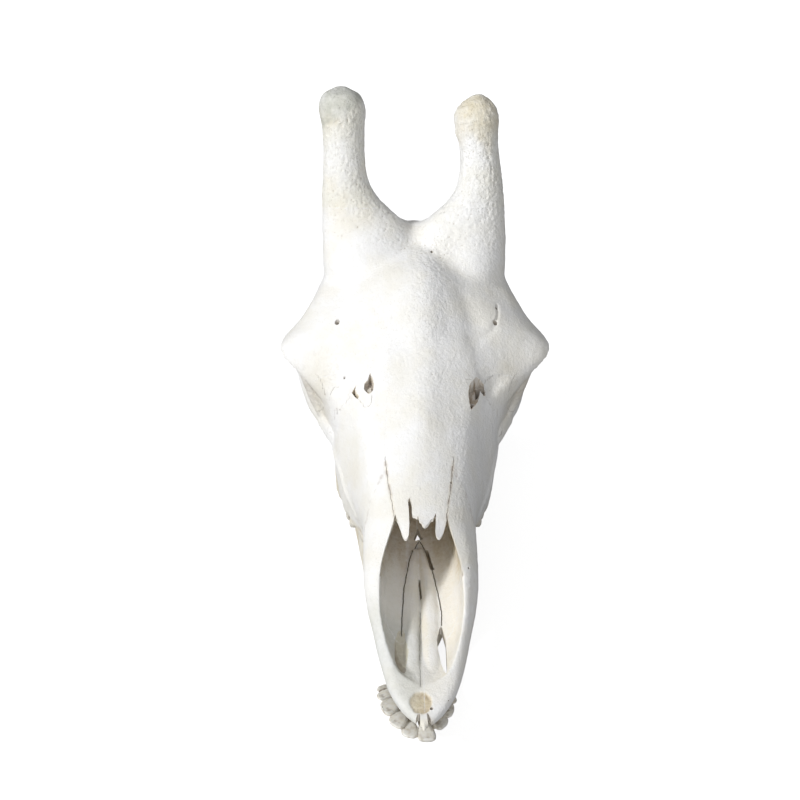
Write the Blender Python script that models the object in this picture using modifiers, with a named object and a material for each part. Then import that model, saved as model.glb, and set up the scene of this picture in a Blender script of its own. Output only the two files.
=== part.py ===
"""A giraffe skull with its lower jaw, life size, lying as it rests: on the angles and chin of the jaw.

The bones are drawn in the skull's own frame, in millimetres: x to the skull's left, s back from the tip
of the upper jaw, and h up from the gum line of the upper cheek teeth. bone_point() turns such a place
into metres, and stand_on_floor() tips the finished bones onto the jaw, over the middle of the floor.
"""

import math

import bmesh
import bpy
import numpy as np
from mathutils import Matrix, Vector

MM = 0.001
SAW = 0.3  # width of the cut between two bones
SIDES = {"left": 1, "right": -1}

# Surface fineness
SKULL_GRAIN = 2.0
JAW_GRAIN = 1.8
RING_STEPS = 6
BROW_MELT = 60
STATION_STEP = 7
SKULL_TRIANGLES = 6500
JAW_TRIANGLES = 1100

# Half outline of the outer face, as rails (s, x, h) from the midline roof down to the midline palate
FACE_RAILS = (
    ((6, 0, 5), (20, 0, 9), (50, 0, 15), (90, 0, 27), (125, 0, 44), (150, 0, 62), (170, 0, 79), (200, 0, 92),
     (250, 0, 113), (300, 0, 138), (340, 0, 160), (375, 0, 180), (420, 0, 192)),
    ((6, 2, 5), (20, 10, 9), (42, 19, 14), (62, 25, 20), (90, 31, 30), (125, 36, 46), (160, 34, 63),
     (185, 28, 77), (200, 27, 86), (250, 30, 105), (300, 34, 128), (340, 40, 150), (375, 46, 168),
     (420, 50, 172)),
    ((6, 3.5, 4), (20, 15, 8), (42, 27, 12.5), (62, 33.5, 17), (90, 40, 26), (125, 46, 41), (160, 48, 56),
     (200, 46, 72), (250, 50, 88), (300, 57, 107), (340, 68, 124), (375, 68, 140), (420, 56, 150)),
    ((6, 4.5, 1), (20, 18, 4), (42, 30.5, 7), (62, 37, 10), (90, 43, 16), (109, 46.5, 21.5), (125, 50, 27),
     (160, 54, 37), (217, 54, 50), (250, 59, 50), (300, 73, 46), (330, 80, 58), (350, 82, 70), (375, 72, 80),
     (400, 60, 86), (420, 50, 95)),
    ((6, 4, -2), (20, 15, -3), (42, 26, -2), (62, 31, -1), (90, 32, 0), (160, 32, 0), (205, 34, 0),
     (235, 41, 0), (265, 50, 1), (300, 67, 2), (340, 71, 2), (375, 68, 3), (400, 58, 8), (420, 46, 26)),
    ((6, 2.5, -3), (20, 10, -3), (42, 18, -2), (62, 22, -1), (90, 23, 2), (200, 24, 3), (235, 29, 3),
     (300, 40, 4), (375, 42, 5), (400, 36, 12), (420, 30, 34)),
    ((6, 0, -2), (50, 0, 0), (100, 0, 4), (200, 0, 5), (300, 0, 9), (375, 0, 13), (400, 0, 22), (420, 0, 46)),
)

# Braincase, from between the eyes back to the occiput
BRAIN_RAILS = (
    ((395, 0, 190), (440, 0, 202), (480, 0, 206), (505, 0, 205), (525, 0, 196), (545, 0, 180),
     (575, 0, 150), (592, 0, 132), (605, 0, 114), (612, 0, 100)),
    ((395, 45, 172), (440, 56, 184), (480, 60, 190), (510, 50, 184), (545, 40, 167), (575, 42, 143),
     (592, 40, 126), (605, 30, 108), (612, 22, 97)),
    ((395, 54, 140), (440, 58, 150), (480, 58, 158), (510, 60, 146), (545, 60, 132), (575, 58, 118),
     (592, 52, 106), (605, 40, 94), (612, 30, 88)),
    ((395, 52, 110), (440, 54, 112), (480, 58, 116), (510, 64, 106), (545, 67, 96), (575, 65, 90),
     (592, 58, 82), (605, 44, 78), (612, 32, 77)),
    ((395, 40, 76), (440, 40, 74), (480, 44, 74), (510, 52, 68), (545, 56, 62), (575, 52, 60), (592, 44, 58),
     (605, 34, 60), (612, 24, 66)),
    ((395, 0, 60), (440, 0, 56), (480, 0, 52), (545, 0, 48), (592, 0, 46), (605, 0, 52), (612, 0, 60)),
)

# Brow: the broad roof of bone over both eye sockets, with the low median swell
BROW_RAILS = (
    ((320, 0, 146), (345, 0, 162), (375, 0, 187), (400, 0, 203), (425, 0, 211), (450, 0, 210), (478, 0, 204)),
    ((320, 26, 136), (345, 30, 153), (375, 34, 176), (400, 36, 192), (425, 38, 200), (450, 40, 201),
     (478, 40, 199)),
    ((320, 46, 120), (345, 56, 140), (375, 62, 160), (400, 68, 175), (440, 72, 182), (478, 70, 186)),
    ((320, 54, 112), (345, 74, 120), (370, 92, 136), (400, 100, 156), (430, 100, 162), (455, 92, 168),
     (478, 84, 174)),
    ((320, 60, 100), (345, 84, 108), (370, 109, 122), (388, 127, 131), (403, 133, 133), (418, 130, 131),
     (436, 114, 134), (455, 102, 144), (478, 90, 158)),
    ((320, 56, 94), (345, 80, 96), (370, 103, 110), (388, 120, 119), (403, 125, 120), (418, 122, 118),
     (436, 106, 120), (455, 94, 128), (478, 76, 140)),
    ((320, 40, 92), (375, 62, 104), (400, 64, 120), (440, 62, 124), (478, 54, 130)),
    ((320, 0, 92), (478, 0, 120)),
)

# Cheek: the face flares out in front of the eye socket, from the row of teeth to the socket's front rim
CHEEK_RAILS = (
    ((318, 0, 122), (374, 0, 140)),
    ((318, 60, 112), (345, 66, 124), (374, 80, 134)),
    ((318, 64, 108), (340, 80, 114), (358, 95, 121), (374, 109, 126)),
    ((318, 70, 90), (340, 82, 92), (358, 93, 98), (374, 105, 104)),
    ((318, 72, 66), (340, 80, 70), (358, 87, 74), (374, 96, 80)),
    ((318, 66, 52), (340, 75, 54), (358, 80, 60), (374, 88, 66)),
    ((318, 40, 50), (374, 50, 66)),
    ((318, 0, 60), (374, 0, 80)),
)

# Eye socket, a cone-like hollow that faces out and a little forward
SOCKET_PLACE = (112, 402, 102)
SOCKET_RADII = (60, 33, 30)
SOCKET_TURN = 14  # degrees that its mouth looks forward

# Bars of bone (x, s, h, half height, half thickness) round the eye socket and back to the ear
CHEEK_BAR = ((70, 330, 62, 10, 6), (80, 348, 66, 11, 7), (88, 366, 67, 10, 7), (98, 390, 65, 9, 7),
             (105, 416, 64, 9, 6.5), (110, 440, 70, 10, 6), (107, 468, 76, 9, 5), (98, 496, 79, 8, 5.5),
             (84, 518, 80, 8, 7), (64, 534, 80, 9, 9))
TEAR_RIM = ((88, 368, 70, 7, 6), (96, 372, 84, 7, 6), (102, 375, 100, 7, 6), (108, 380, 115, 7, 6),
            (114, 391, 126, 6, 6))
POST_BAR = ((116, 420, 126, 6, 7), (118, 434, 114, 6, 7), (117, 440, 97, 6, 7), (113, 439, 80, 7, 7.5),
            (107, 432, 68, 8, 7))

# Horns: sideways place of the axis and half widths across and fore and aft, at distances up from the brow
HORN_LEAN = 57  # degrees back from level
HORN_FOOT = (467, 178)
HORN_ROOT = -34
HORNS = {
    "right": {
        "axis": ((-34, -36), (0, -44), (30, -46), (50, -52.5), (60, -58), (74, -65), (92, -69), (140, -70.5),
                 (180, -73)),
        "across": ((-34, 32), (0, 47), (30, 46), (50, 40), (60, 34), (74, 27.5), (92, 22.5), (120, 20.5),
                   (142, 21), (158, 23.5), (169, 21.6), (176, 16.5), (180, 10), (181.5, 4)),
        "along": ((-34, 28), (0, 36), (30, 30), (50, 26), (74, 22.5), (92, 20.5), (120, 19), (142, 20.5),
                  (158, 23), (169, 21), (176, 16), (180, 9.5), (181.5, 4)),
    },
    "left": {
        "axis": ((-34, 36), (0, 44), (30, 46), (50, 51.5), (60, 57), (74, 63), (92, 65.5), (130, 63.5),
                 (156, 61.5), (174, 63)),
        "across": ((-34, 32), (0, 47), (30, 46), (50, 40), (60, 33.5), (74, 26.5), (92, 22), (120, 19.5),
                   (136, 20), (150, 22.6), (160, 19.5), (168, 13), (172, 7.5), (174, 3)),
        "along": ((-34, 28), (0, 36), (30, 30), (50, 26), (74, 22.5), (92, 20.5), (120, 19), (136, 20),
                  (150, 22.5), (160, 19.5), (168, 13), (172, 7.5), (174, 3)),
    },
}
HORN_CUT = 62  # distance along a horn at which it parts from the skull
HORN_DISC = 37  # radius of that cut

# Saddle of bone between the feet of the horns: (x, s, h, half height, half thickness)
SADDLE = ((-54, 492, 218, 20, 24), (-26, 489, 206, 17, 24), (0, 487, 200, 13, 24), (26, 489, 206, 17, 24),
          (54, 492, 218, 20, 24))

# Nose: the hollow behind the nasal bones, open above in front of them
NOSE_RAILS = (
    ((46, 0, 40), (70, 0, 70), (125, 0, 96), (148, 0, 108), (153, 0, 96), (158, 0, 64), (173, 0, 74.5),
     (200, 0, 83), (250, 0, 103), (300, 0, 126), (326, 0, 135)),
    ((46, 6, 34), (60, 27, 40), (75, 31, 50), (92, 34.5, 62), (125, 37, 80), (148, 36, 92), (153, 34, 86),
     (158, 25, 60), (174, 24, 70), (200, 24, 78), (250, 26, 96), (300, 24, 117), (326, 8, 130)),
    ((46, 5, 17), (60, 24, 20), (75, 30, 25), (92, 35, 32), (125, 39, 42), (160, 38, 54), (200, 38, 62),
     (250, 40, 70), (300, 34, 86), (326, 12, 116)),
    ((46, 4, 14.6), (60, 12, 14), (75, 17.5, 12.2), (92, 24, 12.5), (125, 31, 18), (200, 32, 22),
     (250, 32, 28), (300, 24, 50), (326, 8, 100)),
    ((46, 0, 14.4), (60, 0, 13.6), (75, 0, 11.8), (92, 0, 10.6), (125, 0, 10), (200, 0, 11), (250, 0, 14),
     (300, 0, 34), (326, 0, 92)),
)

# Two bars along the floor of the nose, with a groove between them
FLOOR_BAR = ((8, 40, 6, 6, 7.5), (9, 60, 6.5, 6, 8.5), (9, 95, 8, 6.5, 8.8), (9.2, 133, 9, 6.5, 9),
             (7.8, 172, 10, 6.5, 8), (5.6, 205, 11, 6.5, 6), (2.5, 231, 12, 6, 4))
# Slit through the palate on each side of them: (s, x inside, x outside)
PALATE_SLIT = ((61, 18.5, 20.5), (68, 17, 23), (80, 16.2, 24.5), (97, 15.6, 24), (110, 16, 22.5),
               (122, 18, 20.5))
# Notch between the tips of the upper jaw, from above, as (x, s)
TIP_NOTCH = ((-6.5, -8), (-6.2, 6), (-4.5, 13), (-1, 17), (2.5, 13), (4.6, 6), (5, -8))
# Front edge of the nasal bones, from above, as (x, s): two spikes outside, broken points between
NOSE_EDGE = ((-39.6, 150), (-38.7, 158), (-33.8, 175.5), (-29, 188), (-25, 199), (-20, 178), (-17, 173),
             (-14.2, 182), (-13, 212), (-10, 211), (-8.5, 196), (-6, 193), (-2, 189), (4, 183), (8, 189),
             (10, 198), (12, 199), (14, 181), (16.8, 173), (20, 179), (25, 199), (29.4, 188), (33.6, 175.5),
             (38.7, 158), (39.6, 150))
NOSE_EDGE_LOW = 60
# Blind slit in the face in front of each eye
TEAR_GAP = (53, 340, 132, 6, 14, 9)

# Occiput and underside of the braincase: (x, s, h, radius x, radius s, radius h)
CONDYLE = (23, 609, 60, 14, 17, 22)
EAR_BULB = (34, 546, 48, 12, 20, 16)
JAW_SOCKET = (79, 508, 77, 25, 20, 12)
NAPE_BAR = ((0, 586, 131, 10, 10), (26, 585, 128, 10, 10), (45, 580, 116, 10, 10), (58, 573, 100, 10, 11),
            (62, 562, 86, 11, 11))
EAR_STALK = ((50, 576, 68, 10, 13), (50, 582, 48, 8, 10), (49, 584, 30, 6, 8), (47, 582, 14, 4, 5))
PALATE_WING = ((27, 376, 26, 18, 5), (26, 400, 30, 18, 4), (25, 425, 40, 22, 4), (25, 452, 50, 22, 5))
EAR_TUBE = ((56, 540, 78, 11, 11), (72, 543, 79, 9, 9))

# Holes of the skull
SPINE_HOLE = (0, 632, 80, 17)  # x, s, h, radius
SPINE_DEPTH = 70
CHOANA_PLACE = (0, 428, 36)
CHOANA_RADII = (18, 60, 18)

# Seams between the bones
# Outline of the nasal bones from above, as (x, s), and the surface (s, h) that ends them below
NASAL_SEAM = ((25, 150), (25, 200), (29.5, 235), (32.5, 262), (31.5, 290), (30, 322), (24, 338), (12, 345), (0, 347))
NASAL_UNDER = ((150, 52), (260, 84), (314, 124), (347, 158.2))
PREMAXILLA_SEAM = ((70, -20), (85, 0), (100, 9), (150, 31), (205, 59), (236, 78), (250, 96), (255, 140))
MAXILLA_SEAM = ((342, 210), (352, 165), (366, 105), (371, 88), (408, 0), (416, -20))  # side view (s, h)
CHEEK_SEAM = ((474, 102), (425, 102), (388, 97), (366, 91), (351, 80), (346, 66), (352, 52), (368, 44),
              (474, 44))  # outline of the cheek bone, side view (s, h)
CHEEK_SEAM_X = 75

# Upper cheek teeth: (s, x) of the middle, length, width, lobes
UPPER_TEETH = ((237, 39, 21, 18, 1), (258.5, 41.5, 22, 20, 1), (281, 45, 23, 21, 1), (306, 54, 27, 27, 2),
               (333.5, 58, 28, 28, 2), (362, 58, 29, 26, 2))
UPPER_GUM = 0
UPPER_CROWN = 14
# Lower cheek teeth
LOWER_TEETH = ((237, 35, 18, 12, 1), (256, 37, 20, 14, 1), (277, 39, 22, 16, 1), (300.5, 42, 25, 17, 2),
               (327, 45, 28, 18, 2), (359, 48.5, 36, 17, 3))
LOWER_GUM = -31
LOWER_CROWN = 12.5
CUSP = 1.6
ROOT_DEPTH = 9

# Lower jaw: (x, s, h, half height, half thickness) along one half
JAW_BODY = ((8, 36, -29, 5, 8), (11.5, 48, -32, 8, 12), (13, 64, -38, 10.5, 13), (11, 82, -44, 11.5, 10.5),
            (9.5, 104, -48, 12.5, 8.2), (9.7, 130, -50, 13.5, 7.2), (11.5, 152, -52, 14, 7.2),
            (17, 176, -53, 15.3, 7.6), (26, 206, -54, 18, 8.3), (34, 240, -55, 23.3, 9.5),
            (38, 280, -57, 26.1, 10.5), (42, 320, -58, 27.8, 11), (47, 360, -59, 28, 11),
            (54, 400, -61, 28, 9), (61, 428, -64, 28, 7))
JAW_BLADE = ((70, 478, -101, 12, 4.5), (70, 475, -97, 26, 6), (70, 470, -86, 40, 6.5), (71, 464, -60, 51, 6),
             (72, 463, -25, 50, 5.5), (74, 468, 8, 43, 5.5), (76, 476, 32, 31, 5.5), (78, 484, 46, 19, 5))
JAW_RISE = ((54, 378, -48, 18, 9), (60, 398, -36, 20, 8), (66, 416, -10, 17, 6.5), (72, 432, 24, 15, 5.5),
            (77, 446, 58, 12, 5), (82, 460, 90, 9, 4.5), (83, 472, 112, 6, 4))
CONDYLE_NECK = ((74, 486, -30, 12, 5), (76, 494, 0, 17, 6), (78, 500, 30, 13, 7), (79, 504, 48, 10, 9))
JAW_CONDYLE = (79, 505, 53, 21, 9, 8)
JAW_SLIP = 6  # millimetres that the chin lies to the skull's right
JAW_HINGE_S = 505

# Front teeth of the lower jaw, from the middle out: foot, edge, way of the edge (x, s), its width, thickness
FRONT_TEETH = (
    ((6.5, 34, -23), (7.4, 1, -9), (1, 0.2), 14.2, 10),
    ((13, 46, -22), (22, 15.5, -9), (0.7, 0.71), 20, 10),
    ((17, 60, -21), (32, 33, -9), (0.42, 0.9), 20, 10),
    ((19, 74, -20), (36.5, 52, -8), (0.12, 0.99), 19, 9),
)

REST_TILT = 5.1  # degrees that the skull leans nose down as it lies
REST_SHIFT = (0, -309, 56.5)  # millimetres from the tip of the upper jaw to the middle of the floor below it


def rail(knots):
    """A smooth curve through knots (place, value, ...) that never overshoots them."""
    table = np.array(knots, float)
    place, value = table[:, 0], table[:, 1:]
    step = np.diff(place)[:, None]
    slope = np.diff(value, axis=0) / step
    tangent = np.zeros_like(value)
    before, after = slope[:-1], slope[1:]
    turning = before * after <= 0
    mean = 2 * before * after / np.where(turning, 1, before + after)
    tangent[1:-1] = np.where(turning, 0, mean)
    tangent[0], tangent[-1] = slope[0], slope[-1]

    def at(where):
        i = int(np.clip(np.searchsorted(place, where) - 1, 0, len(place) - 2))
        width = place[i + 1] - place[i]
        t = min(max((where - place[i]) / width, 0), 1)
        return (
            value[i] * (1 + 2 * t) * (1 - t) ** 2
            + value[i + 1] * t * t * (3 - 2 * t)
            + tangent[i] * width * t * (1 - t) ** 2
            + tangent[i + 1] * width * t * t * (t - 1)
        )

    return at


def closed_ring(corners, steps):
    """Points of a smooth closed curve through corners."""
    ring = []
    count = len(corners)
    for i in range(count):
        a, b, c, d = (np.array(corners[(i + k) % count], float) for k in (-1, 0, 1, 2))
        for k in range(steps):
            t = k / steps
            ring.append(0.5 * (2 * b + (c - a) * t + (2 * a - 5 * b + 4 * c - d) * t**2
                               + (3 * b - a - 3 * c + d) * t**3))
    return ring


def bone_point(place):
    """Metres, in the skull's own frame, of a place (x, s, h) in millimetres."""
    return Vector(place) * MM


def mesh_object(name, bm):
    """An object that holds bm, with its faces pointing out."""
    bmesh.ops.recalc_face_normals(bm, faces=bm.faces)
    mesh = bpy.data.meshes.new(name)
    bm.to_mesh(mesh)
    bm.free()
    made = bpy.data.objects.new(name, mesh)
    bpy.context.scene.collection.objects.link(made)
    return made


def loft(name, rings):
    """A closed solid through rings of equally many places."""
    bm = bmesh.new()
    loops = [[bm.verts.new(bone_point(p)) for p in ring] for ring in rings]
    for near, far in zip(loops, loops[1:]):
        for i in range(len(near)):
            k = (i + 1) % len(near)
            bm.faces.new((near[i], near[k], far[k], far[i]))
    bm.faces.new(loops[0])
    bm.faces.new(loops[-1])
    bmesh.ops.triangulate(bm, faces=[f for f in bm.faces if len(f.verts) > 4])
    return mesh_object(name, bm)


def hull(name, rails):
    """A solid, alike on both sides of the midline, skinned over rails (s, x, h) from roof to floor."""
    curves = [rail(knots) for knots in rails]
    first, last = rails[0][0][0], rails[0][-1][0]
    count = math.ceil((last - first) / STATION_STEP)
    rings = []
    for i in range(count + 1):
        s = first + (last - first) * i / count
        half = [curve(s) for curve in curves]
        corners = [(x, s, h) for x, h in half]
        corners += [(-x, s, h) for x, h in half[-2:0:-1]]
        rings.append(closed_ring(corners, RING_STEPS))
    return loft(name, rings)


def bar(name, knots, side=1, sides=12, spacing=6):
    """A tapered bar with an oval section, through knots (x, s, h, half height, half thickness)."""
    table = np.array(knots, float)
    table[:, 0] *= side
    reach = np.concatenate([[0], np.cumsum(np.linalg.norm(np.diff(table[:, :3], axis=0), axis=1))])
    curve = rail(np.column_stack([reach, table]))
    count = max(2, round(reach[-1] / spacing))
    marks = [curve(reach[-1] * i / count) for i in range(count + 1)]
    rings = []
    across = Vector((1, 0, 0))
    for i, mark in enumerate(marks):
        ahead = Vector(marks[min(i + 1, count)][:3] - marks[max(i - 1, 0)][:3]).normalized()
        level = ahead.cross(Vector((0, 0, 1)))
        if level.length < 0.35:
            level = across - ahead * across.dot(ahead)
        across = (level if level.dot(across) > 0 else -level).normalized()
        up = across.cross(ahead)
        centre = Vector(mark[:3])
        rings.append([
            centre + up * mark[3] * math.sin(turn) + across * mark[4] * math.cos(turn)
            for turn in (2 * math.pi * k / sides for k in range(sides))
        ])
    return loft(name, rings)


def ball(name, place, radii, turn=0, side=1, segments=20):
    """An ellipsoid about (x, s, h), turned about the upright by turn degrees."""
    bm = bmesh.new()
    bmesh.ops.create_uvsphere(bm, u_segments=segments, v_segments=segments // 2, radius=1)
    size = Matrix.Diagonal((*(r * MM for r in radii), 1))
    x, s, h = place
    about = Matrix.Rotation(math.radians(turn * side), 4, "Z")
    bm.transform(Matrix.Translation(bone_point((x * side, s, h))) @ about @ size)
    return mesh_object(name, bm)


def prism(name, outline, axis, low, high):
    """A flat outline, in (s, h) for the axis x or in (x, s) for the axis h, pushed from low to high along it."""
    rings = []
    for depth in (low, high):
        rings.append([(depth, a, b) if axis == "x" else (a, b, depth) for a, b in outline])
    return loft(name, rings)


def blade(name, rows):
    """A sheet SAW thick through rows of places, each row as long as the next."""
    bm = bmesh.new()
    grid = [[bm.verts.new(bone_point(p)) for p in row] for row in rows]
    for near, far in zip(grid, grid[1:]):
        for i in range(len(near) - 1):
            bm.faces.new((near[i], near[i + 1], far[i + 1], far[i]))
    sheet = mesh_object(name, bm)
    thick = sheet.modifiers.new("thick", "SOLIDIFY")
    thick.thickness = SAW * MM
    thick.offset = 0
    thick.use_even_offset = True
    return settle(sheet)


def side_blade(name, path, near, far):
    """A sheet that follows a path (s, h) and reaches from x = near to x = far."""
    return blade(name, [[(x, s, h) for s, h in path] for x in (near, far)])


def settle(obj):
    """Applies every modifier of obj."""
    graph = bpy.context.evaluated_depsgraph_get()
    mesh = bpy.data.meshes.new_from_object(obj.evaluated_get(graph))
    obj.modifiers.clear()
    obj.data = mesh
    return obj


def join_loose(name, pieces):
    """The pieces' meshes in one object, overlaps and all."""
    bm = bmesh.new()
    for piece in pieces:
        bm.from_mesh(piece.data)
        bpy.data.objects.remove(piece)
    return mesh_object(name, bm)


def remesh(obj, grain, smoothing):
    """Fuses what overlaps in obj into one skin, with its creases softened."""
    skin = obj.modifiers.new("fuse", "REMESH")
    skin.mode = "VOXEL"
    skin.voxel_size = grain * MM
    soft = obj.modifiers.new("soften", "SMOOTH")
    soft.factor = 0.5
    soft.iterations = smoothing
    return settle(obj)


def melt(obj, weight, rounds):
    """Smooths obj by rounds, as strongly as weight(x, s, h) says at each place."""
    group = obj.vertex_groups.new(name="melt")
    for vertex in obj.data.vertices:
        amount = weight(*(c / MM for c in vertex.co))
        if amount > 0.01:
            group.add([vertex.index], amount, "REPLACE")
    soft = obj.modifiers.new("melt", "SMOOTH")
    soft.factor = 0.5
    soft.iterations = rounds
    soft.vertex_group = "melt"
    settle(obj)
    obj.vertex_groups.clear()
    return obj


def ramp(low, high, value):
    """Rises from 0 at low to 1 at high."""
    return min(max((value - low) / (high - low), 0), 1)


def brow_weight(x, s, h):
    """How far a place lies in the smooth brow round the feet of the horns."""
    lengthwise = ramp(350, 400, s) * ramp(560, 520, s)
    return lengthwise * ramp(120, 160, h) * ramp(112, 96, abs(x)) * ramp(275, 245, h)


def thin_out(obj, triangles):
    """Cuts obj down to about that many triangles."""
    obj.data.calc_loop_triangles()
    fewer = obj.modifiers.new("fewer", "DECIMATE")
    fewer.ratio = min(1, triangles / len(obj.data.loop_triangles))
    fewer.use_collapse_triangulate = True
    return settle(obj)


def boolean(obj, others, operation, solver="MANIFOLD"):
    """Joins or cuts obj with other solids, which are then removed."""
    group = bpy.data.collections.new(operation.lower())
    for other in others:
        group.objects.link(other)
    work = obj.modifiers.new("work", "BOOLEAN")
    work.operation = operation
    work.operand_type = "COLLECTION"
    work.collection = group
    work.solver = solver
    settle(obj)
    for other in others:
        bpy.data.objects.remove(other)
    bpy.data.collections.remove(group)
    return obj


def carve(obj, cutters):
    return boolean(obj, cutters, "DIFFERENCE")


def fuse(obj, pieces):
    return boolean(obj, pieces, "UNION")


def islands(bm):
    """The connected groups of faces of bm."""
    seen = set()
    groups = []
    for start in bm.faces:
        if start in seen:
            continue
        seen.add(start)
        group, edge = [start], [start]
        while edge:
            face = edge.pop()
            for link in (other for e in face.edges for other in e.link_faces):
                if link not in seen:
                    seen.add(link)
                    group.append(link)
                    edge.append(link)
        groups.append(group)
    return groups


def largest_only(obj):
    """Drops every closed surface of obj but the largest."""
    bm = bmesh.new()
    bm.from_mesh(obj.data)
    groups = sorted(islands(bm), key=lambda g: sum(f.calc_area() for f in g))
    loose = [face for group in groups[:-1] for face in group]
    bmesh.ops.delete(bm, geom=loose, context="FACES")
    bm.to_mesh(obj.data)
    bm.free()
    return obj


def part_at(whole, name, place):
    """A new object with the island of whole whose surface is nearest to a place."""
    bm = bmesh.new()
    bm.from_mesh(whole.data)
    target = bone_point(place)
    groups = islands(bm)
    chosen = min(groups, key=lambda g: min((f.calc_center_median() - target).length for f in g))
    keep = set(chosen)
    bmesh.ops.delete(bm, geom=[f for f in bm.faces if f not in keep], context="FACES")
    return mesh_object(name, bm)


def horn_ring(side_name, along, across, fore):
    """A ring square to a horn's axis, with its half widths across and fore and aft."""
    lean = math.radians(HORN_LEAN)
    x = rail(HORNS[side_name]["axis"])(along)[0]
    s, h = HORN_FOOT[0] + along * math.cos(lean), HORN_FOOT[1] + along * math.sin(lean)
    ring = []
    for k in range(24):
        turn = 2 * math.pi * k / 24
        behind = fore * math.sin(turn)
        ring.append((x + across * math.cos(turn), s + behind * math.sin(lean), h - behind * math.cos(lean)))
    return ring


def horn(name, side_name):
    """One horn, from its foot sunk in the brow to its tip."""
    across, fore = rail(HORNS[side_name]["across"]), rail(HORNS[side_name]["along"])
    marks = np.linspace(HORN_ROOT, HORNS[side_name]["across"][-1][0], 32)
    return loft(name, [horn_ring(side_name, m, across(m)[0], fore(m)[0]) for m in marks])


def skull_mass():
    """Everything of the upper skull but its teeth, fused, before any hollow is cut."""
    pieces = [
        hull("face", FACE_RAILS),
        hull("brain", BRAIN_RAILS),
        hull("brow", BROW_RAILS),
        hull("cheek", CHEEK_RAILS),
        bar("saddle", SADDLE),
    ]
    for name, side in SIDES.items():
        pieces += [
            horn("horn_" + name, name),
            bar("nape", NAPE_BAR, side),
            ball("condyle", CONDYLE[:3], CONDYLE[3:], 20, side),
            ball("ear_bulb", EAR_BULB[:3], EAR_BULB[3:], 0, side),
            ball("jaw_socket", JAW_SOCKET[:3], JAW_SOCKET[3:], 0, side),
            bar("ear_stalk", EAR_STALK, side),
            bar("ear_tube", EAR_TUBE, side),
            bar("palate_wing", PALATE_WING, side),
        ]
    return melt(remesh(join_loose("skull", pieces), SKULL_GRAIN, 8), brow_weight, BROW_MELT)


def hollow_out(skull):
    """Cuts the nose, the eye sockets and the hollow that the spine enters."""
    x, s, h, radius = SPINE_HOLE
    spine = ((x, s, h, radius, radius), (x, s - SPINE_DEPTH, h + 4, radius, radius))
    cutters = [hull("nose", NOSE_RAILS), bar("spine", spine), ball("choana", CHOANA_PLACE, CHOANA_RADII)]
    for side in SIDES.values():
        cutters.append(ball("socket", SOCKET_PLACE, SOCKET_RADII, SOCKET_TURN, side, 28))
    return carve(skull, cutters)


def skull_bones():
    """The hollow upper skull, with the bars round its sockets, as one skin."""
    pieces = [hollow_out(skull_mass())]
    for side in SIDES.values():
        pieces += [
            bar("cheek_bar", CHEEK_BAR, side),
            bar("tear_rim", TEAR_RIM, side),
            bar("post_bar", POST_BAR, side),
            bar("floor_bar", FLOOR_BAR, side),
        ]
    skull = remesh(join_loose("skull", pieces), SKULL_GRAIN, 5)
    return thin_out(skull, SKULL_TRIANGLES)


def sharp_cuts(skull):
    """Cuts the palate slits, the notch at the tip, the broken edge of the nasal bones and the eye slits."""
    cutters = [
        prism("tip_notch", TIP_NOTCH, "h", -30, 60),
        prism("nose_edge", NOSE_EDGE, "h", NOSE_EDGE_LOW, 200),
    ]
    for side in SIDES.values():
        outline = [(inner * side, s) for s, inner, _ in PALATE_SLIT]
        outline += [(outer * side, s) for s, _, outer in reversed(PALATE_SLIT)]
        cutters.append(prism("slit", outline, "h", -20, 24))
        cutters.append(ball("tear_gap", TEAR_GAP[:3], TEAR_GAP[3:], 0, side, 16))
    return carve(skull, cutters)


def horn_blade(side_name):
    """The disc that parts a horn from the brow."""
    marks = (HORN_CUT - SAW / 2, HORN_CUT + SAW / 2)
    return loft("horn_cut", [horn_ring(side_name, m, HORN_DISC, HORN_DISC) for m in marks])


def bone_seams():
    """Sheets along every seam at which the skull comes apart."""
    middle = [(-20, -40), (-20, 240), *MAXILLA_SEAM]
    sheets = [prism("middle", middle, "x", -SAW / 2, SAW / 2)]
    under = rail(NASAL_UNDER)
    seam = list(NASAL_SEAM) + [(-x, s) for x, s in NASAL_SEAM[-2::-1]]
    sides = [[(x, s, under(s)[0] - 3) for x, s in seam], [(x, s, 240) for x, s in seam]]
    sheets.append(blade("nasal_seam", sides))
    slope = [(s, under(s)[0]) for s in np.linspace(NASAL_UNDER[0][0], NASAL_UNDER[-1][0], 20)]
    sheets.append(side_blade("nasal_under", slope, -34, 34))
    sheets.append(side_blade("premaxilla_floor", [p for p in PREMAXILLA_SEAM if p[0] <= 150], -31, 31))
    sheets.append(side_blade("maxilla_top", MAXILLA_SEAM[:4], -140, 140))
    sheets.append(side_blade("maxilla_low", MAXILLA_SEAM[3:], -CHEEK_SEAM_X, CHEEK_SEAM_X))
    for name, side in SIDES.items():
        inner = CHEEK_SEAM_X * side
        sheets += [
            side_blade("premaxilla_side", PREMAXILLA_SEAM, 29.5 * side, 90 * side),
            side_blade("cheek_round", CHEEK_SEAM, inner, 150 * side),
            side_blade("cheek_back", ((474, 110), (474, 36)), inner, 150 * side),
            prism("cheek_in", CHEEK_SEAM, "x", inner - SAW / 2, inner + SAW / 2),
            horn_blade(name),
        ]
    return sheets


# A place on each bone of the upper skull, by which its piece is known
BONE_PLACES = {
    "nasal": (14, 240, 110),
    "premaxilla": (47, 80, 18),
    "maxilla": (60, 300, 85),
    "cheek_bone": (108, 416, 62),
    "horn": (66, 530, 275),
}


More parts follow.
